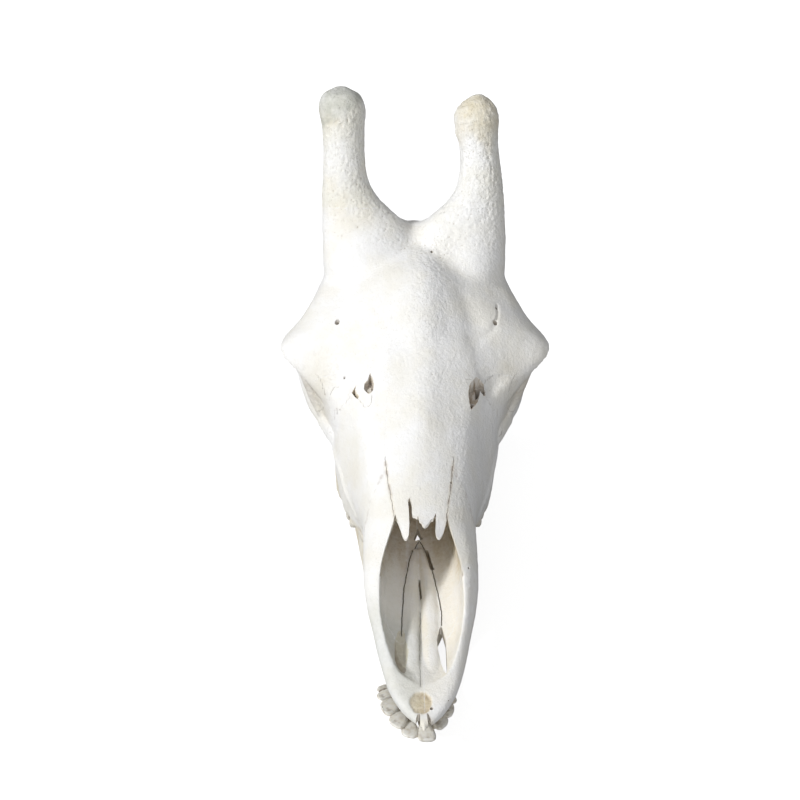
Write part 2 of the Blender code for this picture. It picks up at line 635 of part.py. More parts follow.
def lobed_ring(length, width, lobes, scale):
    """Outline of a cheek tooth about its middle: (along the row, across it)."""
    ring = []
    count = 8 if lobes == 1 else 12
    for k in range(count):
        turn = 2 * math.pi * (k + 0.5) / count
        along = math.copysign(abs(math.cos(turn)) ** 0.7, math.cos(turn)) * length / 2
        across = math.copysign(abs(math.sin(turn)) ** 0.7, math.sin(turn)) * width / 2
        if lobes > 1:
            across *= 0.9 - 0.1 * math.cos(2 * math.pi * lobes * (along / length + 0.5))
        ring.append((along * scale, across * scale))
    return ring


def cheek_tooth(name, tooth, slope, gum, crown, side):
    """One cheek tooth: a sunk root, a crown with a raised rim of cusps and a worn hollow."""
    s, x, length, width, lobes = tooth
    up = 1 if crown > 0 else -1
    levels = ((ROOT_DEPTH, 0.8), (0, 0.94), (-0.5 * abs(crown), 1.0), (-abs(crown), 0.86),
              (-0.8 * abs(crown), 0.42))
    rings = []
    for level, scale in levels:
        ring = []
        for along, across in lobed_ring(length, width, lobes, scale):
            cusp = 0
            if level <= -0.9 * abs(crown) and scale > 0.6:
                cusp = CUSP * 0.5 * (1 - math.cos(2 * math.pi * lobes * (along / (length * scale) + 0.5)))
            sideways = x + across + along * slope
            ring.append((sideways * side, s + along - across * slope, gum + up * (level - cusp)))
        rings.append(ring)
    return loft(name, rings)


def tooth_row(teeth, gum, crown, side):
    """All cheek teeth of one row."""
    row = []
    for i, tooth in enumerate(teeth):
        before, after = teeth[max(i - 1, 0)], teeth[min(i + 1, len(teeth) - 1)]
        slope = (after[1] - before[1]) / (after[0] - before[0])
        row.append(cheek_tooth("tooth", tooth, slope, gum, crown, side))
    return row


def front_tooth(name, shape, side):
    """One spade-like front tooth of the lower jaw, which turns outward from its foot to its edge."""
    foot, edge, (way_x, way_s), wide, thick = shape
    foot, edge = Vector(foot), Vector(edge)
    axis = edge - foot
    level = axis.cross(Vector((0, 0, 1))).normalized()
    rings = []
    for t, width, depth, turned in ((-0.6, 6.5, thick * 0.7, 0), (0, 9, thick, 0), (0.4, wide * 0.85, thick, 0.5),
                                    (0.85, wide, thick * 0.7, 0.95), (1, wide * 0.88, thick * 0.35, 1)):
        across = level.lerp(Vector((-way_x, -way_s, 0)), turned).normalized()
        up = across.cross(axis).normalized()
        centre = foot + axis * t
        ring = []
        for k in range(8):
            turn = 2 * math.pi * (k + 0.5) / 8
            place = centre + across * width / 2 * math.cos(turn) + up * depth / 2 * math.sin(turn)
            ring.append((place.x * side, place.y, place.z))
        rings.append(ring)
    return loft(name, rings)


def jaw_bones():
    """Both halves of the lower jaw in one mesh, fused."""
    pieces = []
    for side in SIDES.values():
        pieces += [
            bar("body", JAW_BODY, side),
            bar("blade", JAW_BLADE, side, 16),
            bar("rise", JAW_RISE, side),
            bar("neck", CONDYLE_NECK, side),
            ball("condyle", JAW_CONDYLE[:3], JAW_CONDYLE[3:], -8, side),
        ]
    jaw = remesh(join_loose("jaw", pieces), JAW_GRAIN, 6)
    return thin_out(jaw, 2 * JAW_TRIANGLES)


def build_upper():
    """The bones of the upper skull, cut apart and named."""
    whole = carve(sharp_cuts(skull_bones()), bone_seams())
    bones = {}
    for part, (x, s, h) in BONE_PLACES.items():
        for name, side in SIDES.items():
            bones[f"{part}_{name}"] = part_at(whole, f"{part}_{name}", (x * side, s, h))
    bones["cranium"] = part_at(whole, "cranium", (0, 470, 200))
    bpy.data.objects.remove(whole)
    for name, side in SIDES.items():
        fuse(bones["maxilla_" + name], tooth_row(UPPER_TEETH, UPPER_GUM, UPPER_CROWN, side))
    return bones


def build_lower():
    """The two halves of the lower jaw, with their teeth."""
    slab = prism("middle", [(-60, -140), (-60, 40), (300, 40), (300, -140)], "x", -SAW / 2, SAW / 2)
    whole = carve(jaw_bones(), [slab])
    halves = {}
    for name, side in SIDES.items():
        half = part_at(whole, "jaw_" + name, (40 * side, 280, -80))
        teeth = tooth_row(LOWER_TEETH, LOWER_GUM, -LOWER_CROWN, side)
        teeth += [front_tooth("front", shape, side) for shape in FRONT_TEETH]
        halves["jaw_" + name] = fuse(half, teeth)
    bpy.data.objects.remove(whole)
    hinge = Matrix.Translation(bone_point((0, JAW_HINGE_S, 0)))
    swing = Matrix.Rotation(math.atan2(-JAW_SLIP, JAW_HINGE_S), 4, "Z")
    for half in halves.values():
        half.data.transform(hinge @ swing @ hinge.inverted())
    return halves


def at_rest():
    """The turn and shift that stand the skull on the floor as it lies, over the origin."""
    return Matrix.Translation(bone_point(REST_SHIFT)) @ Matrix.Rotation(math.radians(REST_TILT), 4, "X")


def stand_on_floor(bones):
    """Tips the skull as it lies and shaves the jaw's lowest places flat on the floor."""
    for bone in bones.values():
        bone.data.transform(at_rest())
    for name in ("jaw_left", "jaw_right"):
        bm = bmesh.new()
        bmesh.ops.create_cube(bm, size=1)
        bm.transform(Matrix.Translation((0, 0, -0.05)) @ Matrix.Diagonal((0.6, 1.2, 0.1, 1)))
        carve(bones[name], [mesh_object("floor", bm)])


# Colour of each kind of bone
COLOURS = {"horn": (0.80, 0.77, 0.66), "jaw": (0.83, 0.79, 0.68), "cranium": (0.88, 0.86, 0.80)}
BONE_COLOUR = (0.86, 0.84, 0.78)


def finish(bones):
    """Materials, smooth shading and the collection of the finished bones."""
    group = bpy.data.collections.new("giraffe_skull")
    bpy.context.scene.collection.children.link(group)
    for name, bone in bones.items():
        largest_only(bone)
        bone.name = bone.data.name = name
        for holder in list(bone.users_collection):
            holder.objects.unlink(bone)
        group.objects.link(bone)
        bone.data.shade_smooth()
        paint = bpy.data.materials.new(name + "_bone")
        paint.use_nodes = True
        shader = paint.node_tree.nodes["Principled BSDF"]
        colour = COLOURS.get(name.split("_")[0], BONE_COLOUR)
        shader.inputs["Base Color"].default_value = (*colour, 1)
        shader.inputs["Roughness"].default_value = 0.62
        bone.data.materials.clear()
        bone.data.materials.append(paint)


def main():
    for obj in list(bpy.data.objects):
        bpy.data.objects.remove(obj)
    bones = build_upper()
    bones.update(build_lower())
    stand_on_floor(bones)
    finish(bones)


main()
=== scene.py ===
"""A giraffe skull with its lower jaw, as a museum shows it: weathered bone, worn teeth and a pale studio.

The bones are drawn in the skull's own frame, in millimetres: x to the skull's left, s back from the tip
of the upper jaw, and h up from the gum line of the upper cheek teeth. at_rest() lays them on the floor.
"""

import itertools
import math

import bmesh
import bpy
import numpy as np
from mathutils import Matrix, Quaternion, Vector
from mathutils.bvhtree import BVHTree


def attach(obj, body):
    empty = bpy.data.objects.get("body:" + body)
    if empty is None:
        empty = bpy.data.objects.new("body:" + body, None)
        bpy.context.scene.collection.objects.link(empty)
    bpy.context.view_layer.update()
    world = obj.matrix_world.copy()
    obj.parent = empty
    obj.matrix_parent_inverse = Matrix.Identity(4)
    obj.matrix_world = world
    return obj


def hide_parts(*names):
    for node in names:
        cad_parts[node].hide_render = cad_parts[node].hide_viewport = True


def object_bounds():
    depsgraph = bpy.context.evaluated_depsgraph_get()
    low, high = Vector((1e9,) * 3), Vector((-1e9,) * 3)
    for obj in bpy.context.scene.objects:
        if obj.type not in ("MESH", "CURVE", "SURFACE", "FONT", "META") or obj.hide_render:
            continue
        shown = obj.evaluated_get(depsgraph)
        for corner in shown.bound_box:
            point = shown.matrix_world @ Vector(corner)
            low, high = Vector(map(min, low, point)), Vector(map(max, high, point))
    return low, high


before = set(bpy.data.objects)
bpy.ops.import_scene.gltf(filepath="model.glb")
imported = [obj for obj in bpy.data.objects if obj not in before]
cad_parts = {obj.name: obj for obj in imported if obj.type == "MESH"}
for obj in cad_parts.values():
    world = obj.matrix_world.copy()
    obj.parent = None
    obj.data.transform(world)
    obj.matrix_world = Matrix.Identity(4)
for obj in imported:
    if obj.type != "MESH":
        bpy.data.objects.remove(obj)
CAD_LOW, CAD_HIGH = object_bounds()

MM = 0.001
SIDES = {"left": 1, "right": -1}
REST_TILT = 5.1  # degrees that the skull leans nose down as it lies
REST_SHIFT = (0, -309, 56.5)  # millimetres from the tip of the upper jaw to the middle of the floor below it

# Fineness of the surfaces: the grain of the skins and the step between stations, in millimetres
CORE_GRAIN = 2.0
BONE_GRAIN = 1.2
STATION_STEP = 5
RING_STEPS = 8  # points from one rail to the next
SOFTENING = 8  # rounds of smoothing
JAW_SOFTENING = 14
BROW_MELT = 60

# Widths of the seams between bones, in millimetres
SEAM = 0.3
NASAL_GAP = 0.4
KNITTED = 0.03

# Half outline of the outer face, as rails (s, x, h) from the midline roof down to the midline palate
FACE_RAILS = (
    ((6, 0, 5), (20, 0, 9), (50, 0, 15), (90, 0, 27), (125, 0, 44), (150, 0, 62), (170, 0, 79), (200, 0, 92),
     (250, 0, 113), (300, 0, 138), (340, 0, 160), (375, 0, 180), (420, 0, 192)),
    ((6, 2, 5), (20, 10, 9), (42, 19, 14), (62, 25, 20), (90, 31, 30), (125, 36, 46), (160, 34, 63),
     (185, 28, 77), (200, 27, 86), (250, 30, 105), (300, 34, 128), (340, 40, 150), (375, 46, 168),
     (420, 50, 172)),
    ((6, 3.5, 4), (20, 15, 8), (42, 27, 12.5), (62, 33.5, 17), (90, 40, 26), (125, 46, 41), (160, 48, 56),
     (200, 46, 72), (250, 50, 88), (300, 57, 107), (340, 68, 124), (375, 68, 140), (420, 56, 150)),
    ((6, 4.5, 1), (20, 18, 4), (42, 30.5, 7), (62, 37, 10), (90, 43, 16), (109, 46.5, 21.5), (125, 50, 27),
     (160, 54, 37), (217, 54, 50), (250, 59, 50), (300, 73, 46), (330, 80, 58), (350, 82, 70), (375, 72, 80),
     (400, 60, 86), (420, 50, 95)),
    ((6, 4, -2), (20, 15, -3), (42, 26, -2), (62, 31, -1), (90, 32, 0), (160, 32, 0), (205, 34, 0),
     (235, 41, 0), (265, 50, 1), (300, 67, 2), (340, 71, 2), (375, 68, 3), (400, 58, 8), (420, 46, 26)),
    ((6, 2.5, -3), (20, 10, -3), (42, 18, -2), (62, 22, -1), (90, 23, 2), (200, 24, 3), (235, 29, 3),
     (300, 40, 4), (375, 42, 5), (400, 36, 12), (420, 30, 34)),
    ((6, 0, -2), (50, 0, 0), (100, 0, 4), (200, 0, 5), (300, 0, 9), (375, 0, 13), (400, 0, 22), (420, 0, 46)),
)

# Braincase, from between the eyes back to the occiput
BRAIN_RAILS = (
    ((395, 0, 190), (440, 0, 202), (480, 0, 206), (505, 0, 205), (525, 0, 196), (545, 0, 180),
     (575, 0, 150), (592, 0, 132), (605, 0, 114), (612, 0, 100)),
    ((395, 45, 172), (440, 56, 184), (480, 60, 190), (510, 50, 184), (545, 40, 167), (575, 42, 143),
     (592, 40, 126), (605, 30, 108), (612, 22, 97)),
    ((395, 54, 140), (440, 58, 150), (480, 58, 158), (510, 60, 146), (545, 60, 132), (575, 58, 118),
     (592, 52, 106), (605, 40, 94), (612, 30, 88)),
    ((395, 52, 110), (440, 54, 112), (480, 58, 116), (510, 64, 106), (545, 67, 96), (575, 65, 90),
     (592, 58, 82), (605, 44, 78), (612, 32, 77)),
    ((395, 40, 76), (440, 40, 74), (480, 44, 74), (510, 52, 68), (545, 56, 62), (575, 52, 60), (592, 44, 58),
     (605, 34, 60), (612, 24, 66)),
    ((395, 0, 60), (440, 0, 56), (480, 0, 52), (545, 0, 48), (592, 0, 46), (605, 0, 52), (612, 0, 60)),
)

# Brow: the broad roof of bone over both eye sockets, with the low median swell
BROW_RAILS = (
    ((320, 0, 146), (345, 0, 162), (375, 0, 187), (400, 0, 203), (425, 0, 211), (450, 0, 210), (478, 0, 204)),
    ((320, 26, 136), (345, 30, 153), (375, 34, 176), (400, 36, 192), (425, 38, 200), (450, 40, 201),
     (478, 40, 199)),
    ((320, 46, 120), (345, 56, 140), (375, 62, 160), (400, 68, 175), (440, 72, 182), (478, 70, 186)),
    ((320, 54, 112), (345, 74, 120), (370, 92, 136), (400, 100, 156), (430, 100, 162), (455, 92, 168),
     (478, 84, 174)),
    ((320, 60, 100), (345, 84, 108), (370, 109, 122), (388, 127, 131), (403, 133, 133), (418, 130, 131),
     (436, 114, 134), (455, 102, 144), (478, 90, 158)),
    ((320, 56, 94), (345, 80, 96), (370, 103, 110), (388, 120, 119), (403, 125, 120), (418, 122, 118),
     (436, 106, 120), (455, 94, 128), (478, 76, 140)),
    ((320, 40, 92), (375, 62, 104), (400, 64, 120), (440, 62, 124), (478, 54, 130)),
    ((320, 0, 92), (478, 0, 120)),
)

# Cheek: the face flares out in front of the eye socket, from the row of teeth to the socket's front rim
CHEEK_RAILS = (
    ((318, 0, 122), (374, 0, 140)),
    ((318, 60, 112), (345, 66, 124), (374, 80, 134)),
    ((318, 64, 108), (340, 80, 114), (358, 95, 121), (374, 109, 126)),
    ((318, 70, 90), (340, 82, 92), (358, 93, 98), (374, 105, 104)),
    ((318, 72, 66), (340, 80, 70), (358, 87, 74), (374, 96, 80)),
    ((318, 66, 52), (340, 75, 54), (358, 80, 60), (374, 88, 66)),
    ((318, 40, 50), (374, 50, 66)),
    ((318, 0, 60), (374, 0, 80)),
)

# Eye socket, a cone-like hollow that faces out and a little forward
SOCKET_PLACE = (112, 402, 102)
SOCKET_RADII = (60, 33, 30)
SOCKET_TURN = 14  # degrees that its mouth looks forward

# Bars of bone (x, s, h, half height, half thickness) round the eye socket and back to the ear
CHEEK_BAR = ((70, 330, 62, 10, 6), (80, 348, 66, 11, 7), (88, 366, 67, 10, 7), (98, 390, 65, 9, 7),
             (105, 416, 64, 9, 6.5), (110, 440, 70, 10, 6), (107, 468, 76, 9, 5), (98, 496, 79, 8, 5.5),
             (84, 518, 80, 8, 7), (64, 534, 80, 9, 9))
TEAR_RIM = ((88, 368, 70, 7, 6), (96, 372, 84, 7, 6), (102, 375, 100, 7, 6), (108, 380, 115, 7, 6),
            (114, 391, 126, 6, 6))
POST_BAR = ((116, 420, 126, 6, 7), (118, 434, 114, 6, 7), (117, 440, 97, 6, 7), (113, 439, 80, 7, 7.5),
            (107, 432, 68, 8, 7))

# Horns: sideways place of the axis and half widths across and fore and aft, at distances up from the brow
HORN_LEAN = 57  # degrees back from level
HORN_FOOT = (467, 178)
HORN_ROOT = -34
HORNS = {
    "right": {
        "axis": ((-34, -36), (0, -44), (30, -46), (50, -52.5), (60, -58), (74, -65), (92, -69), (140, -70.5),
                 (180, -73)),
        "across": ((-34, 32), (0, 47), (30, 46), (50, 40), (60, 34), (74, 27.5), (92, 22.5), (120, 20.5),
                   (142, 21), (158, 23.5), (169, 21.6), (176, 16.5), (180, 10), (181.5, 4)),
        "along": ((-34, 28), (0, 36), (30, 30), (50, 26), (74, 22.5), (92, 20.5), (120, 19), (142, 20.5),
                  (158, 23), (169, 21), (176, 16), (180, 9.5), (181.5, 4)),
    },
    "left": {
        "axis": ((-34, 36), (0, 44), (30, 46), (50, 51.5), (60, 57), (74, 63), (92, 65.5), (130, 63.5),
                 (156, 61.5), (174, 63)),
        "across": ((-34, 32), (0, 47), (30, 46), (50, 40), (60, 33.5), (74, 26.5), (92, 22), (120, 19.5),
                   (136, 20), (150, 22.6), (160, 19.5), (168, 13), (172, 7.5), (174, 3)),
        "along": ((-34, 28), (0, 36), (30, 30), (50, 26), (74, 22.5), (92, 20.5), (120, 19), (136, 20),
                  (150, 22.5), (160, 19.5), (168, 13), (172, 7.5), (174, 3)),
    },
}
HORN_CUT = 62  # distance along a horn at which it parts from the skull
HORN_DISC = 37

# Saddle of bone between the feet of the horns: (x, s, h, half height, half thickness)
SADDLE = ((-54, 492, 218, 20, 24), (-26, 489, 206, 17, 24), (0, 487, 200, 13, 24), (26, 489, 206, 17, 24),
          (54, 492, 218, 20, 24))

# Nose: the hollow behind the nasal bones, open above in front of them
NOSE_RAILS = (
    ((46, 0, 40), (70, 0, 70), (125, 0, 96), (148, 0, 108), (153, 0, 96), (158, 0, 66), (173, 0, 76.5),
     (200, 0, 87.5), (250, 0, 106), (300, 0, 129), (326, 0, 138)),
    ((46, 6, 34), (60, 27, 40), (75, 31, 50), (92, 34.5, 62), (125, 37, 80), (148, 36, 92), (153, 34, 86),
     (158, 25, 61), (174, 24, 72), (200, 24, 81), (250, 26, 99), (300, 26, 120), (326, 10, 132)),
    ((46, 5, 17), (60, 24, 20), (75, 30, 25), (92, 35, 32), (125, 39, 42), (160, 38, 54), (200, 38, 62),
     (250, 40, 70), (300, 34, 86), (326, 14, 116)),
    ((46, 4, 14.6), (60, 12, 14), (75, 17.5, 12.2), (92, 24, 12.5), (125, 31, 18), (200, 32, 22),
     (250, 32, 28), (300, 24, 50), (326, 8, 100)),
    ((46, 0, 14.4), (60, 0, 13.6), (75, 0, 11.8), (92, 0, 10.6), (125, 0, 10), (200, 0, 11), (250, 0, 14),
     (300, 0, 34), (326, 0, 92)),
)

# Two bars along the floor of the nose, with a groove between them, that meet in a point at the back
FLOOR_BAR = ((8, 40, 6, 6, 7.5), (9, 60, 6.5, 6, 8.5), (9, 95, 8, 6.5, 8.8), (9.2, 133, 9, 6.5, 9),
             (7.8, 172, 10, 6.5, 8), (5.6, 205, 11, 6.5, 6), (2.5, 231, 12, 6, 4))
# Openings in the palate beside them, as (s, x inside, x outside), and how low each is cut
PALATE_SLITS = {
    "left": ((60, 20.4, 21.4), (66, 19, 22), (78, 17.2, 22.6), (96, 14.8, 22.6), (108, 13.8, 22.6),
             (117, 15.6, 21), (126, 17.6, 19.4)),
    "right": ((61, 18, 20.6), (66, 16, 24), (76, 15.6, 26.4), (92, 16.2, 26.2), (102, 17, 25),
              (110, 18, 22.6), (118, 18.6, 20.4)),
}
PALATE_SLIT_LOW = {"left": -20, "right": 12.5}
# The floor of the blind one, and the lines that run on behind both and between them, as (x, s)
RIGHT_SLIT = ((-18, 60), (-13, 92), (-17, 122), (-22, 120), (-29, 92), (-26, 66), (-21, 58))
FLOOR_LINES = {
    "left": ((19, 122), (20, 145), (17.4, 172), (12.8, 207), (8.7, 229), (4, 241), (1.5, 246)),
    "right": ((-19.2, 114), (-18.3, 133), (-15, 179), (-8, 221), (-2, 238), (1.5, 246)),
}
FLOOR_LINE_WIDE = ((13.2, 205), (11.4, 214), (9.2, 226), (7.6, 233))
FLOOR_MIDDLE = ((-0.4, 146), (-1.6, 118), (-2.3, 98), (-2.9, 74), (-3.4, 45))
FLOOR_PIT = ((0.9, 164), (0.6, 172), (0.2, 181), (0, 190))
# A hole behind their point, as (x, s)
PALATE_GAP = ((-3.8, 248.5), (-2.4, 252), (-1, 256.5), (0.6, 261.5), (2.4, 257), (3, 252.5), (5.6, 248.5),
              (3.2, 246.5), (0.4, 247.5), (-1.6, 246))
# Two curved notches in the tip of the upper jaw, as (x, s), and the bar of bone that stands between them
TIP_NOTCHES = (
    ((-4.6, 17), (-6.6, 16.6), (-8.2, 13), (-8.9, 8), (-9.2, -8), (-4.4, -8), (-4.4, 5), (-4.2, 11)),
    ((1.4, 17.6), (3.4, 16.8), (5.2, 13), (6.2, 8), (7, -8), (2.9, -8), (2.8, 5), (2.2, 12)),
)
TIP_PEG = ((-0.8, 18, 4, 3, 3.1), (-0.8, 8, 2.5, 3, 3.2), (-0.8, 3, 0.8, 2.6, 2.8), (-0.8, 1, 0, 1.4, 1.6))
TIP_PATCH = (-3.3, 27.6, 9.8, 11.5)  # a rough hollow above them: place (x, s) and radii
# Front edge of the nasal bones, from above, as (x, s): two spikes outside, broken points between
NOSE_EDGE = ((-39.6, 150), (-38.7, 158), (-36.2, 168), (-33.8, 175.5), (-29, 188), (-24, 201.5),
             (-21.6, 196), (-19.4, 188.5), (-17.4, 180.5), (-15.6, 177), (-14, 176.5), (-12.4, 178),
             (-11.4, 182), (-11, 190), (-11.2, 202), (-12, 213), (-10.2, 215), (-8.2, 209.5), (-8.2, 200),
             (-7.4, 197.8), (-5.4, 197.6), (-3.6, 196), (-2.2, 196.6), (-1.2, 192.6), (0.6, 191.8),
             (1.2, 189), (3.4, 187.2), (5.4, 187.8), (7.4, 190.4), (9.4, 194), (11.6, 195), (13.2, 198.5),
             (14.4, 201), (14.2, 192), (13.6, 185), (14.2, 180), (15.6, 178), (17.2, 177.8), (19, 180),
             (20.8, 183.8), (22.6, 189.5), (25.2, 198.5), (29.4, 188), (33.6, 175.5), (36, 168),
             (38.7, 158), (39.6, 150))

# Openings in the face in front of each eye, from above: outline (x, s) and how low they reach
TEAR_HOLES = (
    (((-46.1, 341), (-48.4, 335.4), (-51.6, 334), (-52, 329.5), (-49.8, 326), (-47.4, 323.6), (-44.6, 324),
      (-42.6, 329), (-43.4, 334.5)), 134),
    (((-43.6, 334), (-42.4, 330), (-43.4, 325), (-45, 324.4), (-44.6, 329), (-45, 334)), 110),
    (((-59.6, 337), (-63.6, 334.5), (-61, 329), (-58.4, 325), (-56.8, 326), (-59.4, 330.5), (-60.6, 334)),
     122),
    (((57.4, 343), (61.2, 343.5), (65, 342), (66.4, 336), (64.6, 333), (61, 333.4), (60, 328), (58, 322),
      (51.6, 312.5), (50, 318), (49.4, 325), (50.6, 333), (54, 338)), 125),
    (((56, 341), (61.2, 343.2), (65, 341.6), (66, 336.2), (64.2, 333.4), (60.4, 333.6), (58.4, 328),
      (56.4, 327), (56.6, 334)), 70),
    (((51.6, 313.4), (50.6, 318), (52.6, 320), (54, 317.6)), 112),
)

# Occiput and underside of the braincase: (x, s, h, radius x, radius s, radius h)
CONDYLE = (23, 609, 60, 14, 17, 22)
EAR_BULB = (34, 546, 48, 12, 20, 16)
JAW_SOCKET = (79, 508, 77, 25, 20, 12)
NAPE_BAR = ((0, 586, 131, 10, 10), (26, 585, 128, 10, 10), (45, 580, 116, 10, 10), (58, 573, 100, 10, 11),
            (62, 562, 86, 11, 11))
EAR_STALK = ((50, 576, 68, 10, 13), (50, 582, 48, 8, 10), (49, 584, 30, 6, 8), (47, 582, 14, 4, 5))
PALATE_WING = ((27, 376, 26, 18, 5), (26, 400, 30, 18, 4), (25, 425, 40, 22, 4), (25, 452, 50, 22, 5))
EAR_TUBE = ((56, 540, 78, 11, 11), (72, 543, 79, 9, 9))
SPINE_HOLE = (0, 632, 80, 17)
SPINE_DEPTH = 70
CHOANA_PLACE = (0, 428, 36)
CHOANA_RADII = (18, 60, 18)

# Seams between the bones
NASAL_SEAM = ((24, 150), (24, 192), (26.5, 211), (30, 235), (32.5, 256), (33, 276), (31.5, 292), (29.5, 322),
              (25, 352))  # (x, s)
# The surface (s, h) that ends the nasal bones below
NASAL_UNDER = ((150, 52), (260, 84), (314, 124), (352, 159), (364, 168))
PREMAXILLA_SEAM = ((70, -20), (85, 0), (100, 9), (150, 31), (205, 60), (227, 82), (241, 97), (253, 106),
                   (257, 140))
MAXILLA_SEAM = ((342, 210), (352, 165), (366, 105), (371, 88), (408, 0), (416, -20))  # side view (s, h)
BROW_SEAM = ((0, 4), (9, 1), (18, 2), (30, -9), (43, -20), (52, -22), (64, -16), (76, -5), (90, 0), (140, 0))
CHEEK_SEAM = ((474, 102), (425, 102), (388, 97), (366, 91), (351, 80), (346, 66), (352, 52), (368, 44),
              (474, 44))  # outline of the cheek bone, side view (s, h)
CHEEK_SEAM_BACK = ((474, 110), (474, 36))
CHEEK_SEAM_X = 75
SEAM_REACH = {"nasal": 34.5, "premaxilla": 90, "cheek": 150}  # how far out the sheets along the seams reach
NASAL_KNIT = (259, 264)  # between these the nasal seam passes from open to knitted
SEAM_TOP = 240
PREMAXILLA_TURN = (143, 150)  # between these its seam passes from the palate to the side of the nose
PREMAXILLA_INNER = (0.5, 29.8)  # how near the midline its sheets start: past it, and outside the nose
MAXILLA_LOW = (369.3, 92)  # where the sheet below the cheek's seam starts

# Lines scored in the surface where bones have knitted: from above (x, s), and from the side (s, h)
KNIT_ABOVE = (
    ((-99, 366), (-95, 361), (-89.6, 351.5), (-83, 341.5), (-77.5, 335), (-72.5, 332), (-65, 334)),
    ((99, 366), (95, 361), (90, 352), (84, 342), (78, 335), (72, 332), (67, 335)),
    ((-52, 516), (-34, 524), (-14, 519), (0, 524), (15, 519), (34, 525), (53, 516)),
)
KNIT_SIDE = (
    ((498, 128), (514, 132), (534, 127), (552, 114), (566, 100)),
    ((520, 150), (528, 138), (531, 129)),
    ((356, 92), (362, 84), (368, 76)),
)
# Cracks from drying
CRACKS_ABOVE = (
    ((46.2, 343), (50, 341.5), (54, 340.5), (58.5, 342)),
    ((46.8, 335.4), (50, 337), (54.6, 340)),
    ((65, 344), (67.9, 348.4), (70.9, 351.4), (74.5, 355)),
    ((67, 341), (72, 345)),
    ((-60.5, 337), (-62.7, 334), (-60, 329), (-57.3, 324), (-54, 319), (-51.2, 314), (-48, 313.6),
     (-45, 315.4), (-44.4, 322)),
    ((-86, 346), (-80, 350), (-76, 349)),
)
CRACKS_SIDE = (
    ((318, 22), (323, 34), (321, 47), (327, 58)),
    ((268, 16), (270, 27), (266, 36)),
    ((352, 20), (357, 31), (354, 42)),
)

# From where to where, in h, the upright cutters reach; the tables above say how low slits and tear holes go
NOSE_EDGE_REACH = (50, 200)
PALATE_GAP_REACH = (-20, 40)
TIP_NOTCH_REACH = (-30, 60)
SLIT_TOP = 24
TEAR_HOLE_TOP = 190

# Small holes: (x, s, h) of the mouth, the way in, radius, depth; on both sides where x isn't 0
HOLES = (
    ((77.6, 396, 168), (-0.1, 0.1, -1), 2.5, 13),
    ((98, 381, 108), (-1, -0.6, 0), 1.6, 9),
    ((61, 222, 40), (-0.8, 0.9, 0.05), 5, 26),
    ((74, 455, 92), (-1, -0.3, 0.2), 5, 18),
    ((12, 614, 45), (0.4, -1, 0.1), 2.4, 14),
    ((31, 505, 54), (0.1, 0, 1), 3.6, 15),
    ((40, 575, 50), (0.1, -0.3, 1), 3.4, 14),
    ((86, 544, 79), (-1, 0, 0), 4.4, 24),
    ((22, 318, 2), (0, 0.4, 1), 2.6, 9),
    ((28, 604, 104), (-0.2, -1, 0), 1.8, 8),
)
# Holes on one side only: radius and depth as above
ODD_HOLES = (
    ((79.2, 411.6, 174), (-0.1, 0.1, -1), 1.7, 9),
    ((17.4, 452.4, 212), (-0.5, 0.5, -1), 1.6, 8),
    ((-71.1, 351.7, 135), (0.2, 0.1, -1), 1.2, 8),
    ((46.1, 158, 60), (-0.6, 0.2, -0.8), 1.2, 6),
    ((6.7, 21.4, 13), (-0.1, 0.1, -1), 1.9, 9),
    ((22.6, 31, 13.5), (-0.1, 0.1, -1), 0.9, 5),
    ((30.6, 234.5, 101), (-0.3, 0.1, -1), 1.3, 6),
    ((-9, 470, 208), (0.1, 0.1, -1), 1.1, 6),
    ((38, 431, 205), (0.1, 0.1, -1), 0.9, 5),
)

# Cheek teeth: (s, x) of the middle, length, width, lobes
UPPER_TEETH = ((237, 39, 21, 18, 1), (258.5, 41.5, 22, 20, 1), (281, 45, 23, 21, 1), (306, 54, 27, 27, 2),
               (333.5, 58, 28, 28, 2), (362, 58, 29, 26, 2))
UPPER_GUM = 0
UPPER_CROWN = 14
LOWER_TEETH = ((237, 35, 18, 12, 1), (256, 37, 20, 14, 1), (277, 39, 22, 16, 1), (300.5, 42, 25, 17, 2),
               (327, 45, 28, 18, 2), (359, 48.5, 36, 17, 3))
LOWER_GUM = -31
LOWER_CROWN = 12.5
TOOTH_ROOT = 8
SOCKET_ROOM = 0.4

# Lower jaw: (x, s, h, half height, half thickness) along one half
JAW_BODY = ((8, 36, -29, 5, 8), (11.5, 48, -32, 8, 12), (13, 64, -38, 10.5, 13), (11, 82, -44, 11.5, 10.5),
            (9.5, 104, -48, 12.5, 8.2), (9.7, 130, -50, 13.5, 7.2), (11.5, 152, -52, 14, 7.2),
            (17, 176, -53, 15.3, 7.6), (26, 206, -54, 18, 8.3), (34, 240, -55, 23.3, 9.5),
            (38, 280, -57, 26.1, 10.5), (42, 320, -58, 27.8, 11), (47, 360, -59, 28, 11),
            (54, 400, -61, 28, 9), (61, 428, -64, 28, 7))
JAW_BLADE = ((70, 478, -101, 12, 4.5), (70, 475, -97, 26, 6), (70, 470, -86, 40, 6.5), (71, 464, -60, 51, 6),
             (72, 463, -25, 50, 5.5), (74, 468, 8, 43, 5.5), (76, 476, 32, 31, 5.5), (78, 484, 46, 19, 5))
JAW_RISE = ((54, 378, -48, 18, 9), (60, 398, -36, 20, 8), (66, 416, -10, 17, 6.5), (72, 432, 24, 15, 5.5),
            (77, 446, 58, 12, 5), (82, 460, 90, 9, 4.5), (83, 472, 112, 6, 4))
CONDYLE_NECK = ((74, 486, -30, 12, 5), (76, 494, 0, 17, 6), (78, 500, 30, 13, 7), (79, 504, 48, 10, 9))
JAW_CONDYLE = (79, 505, 53, 21, 9, 8)
JAW_SLIP = 6  # millimetres that the chin lies to the skull's right
JAW_HINGE_S = 505
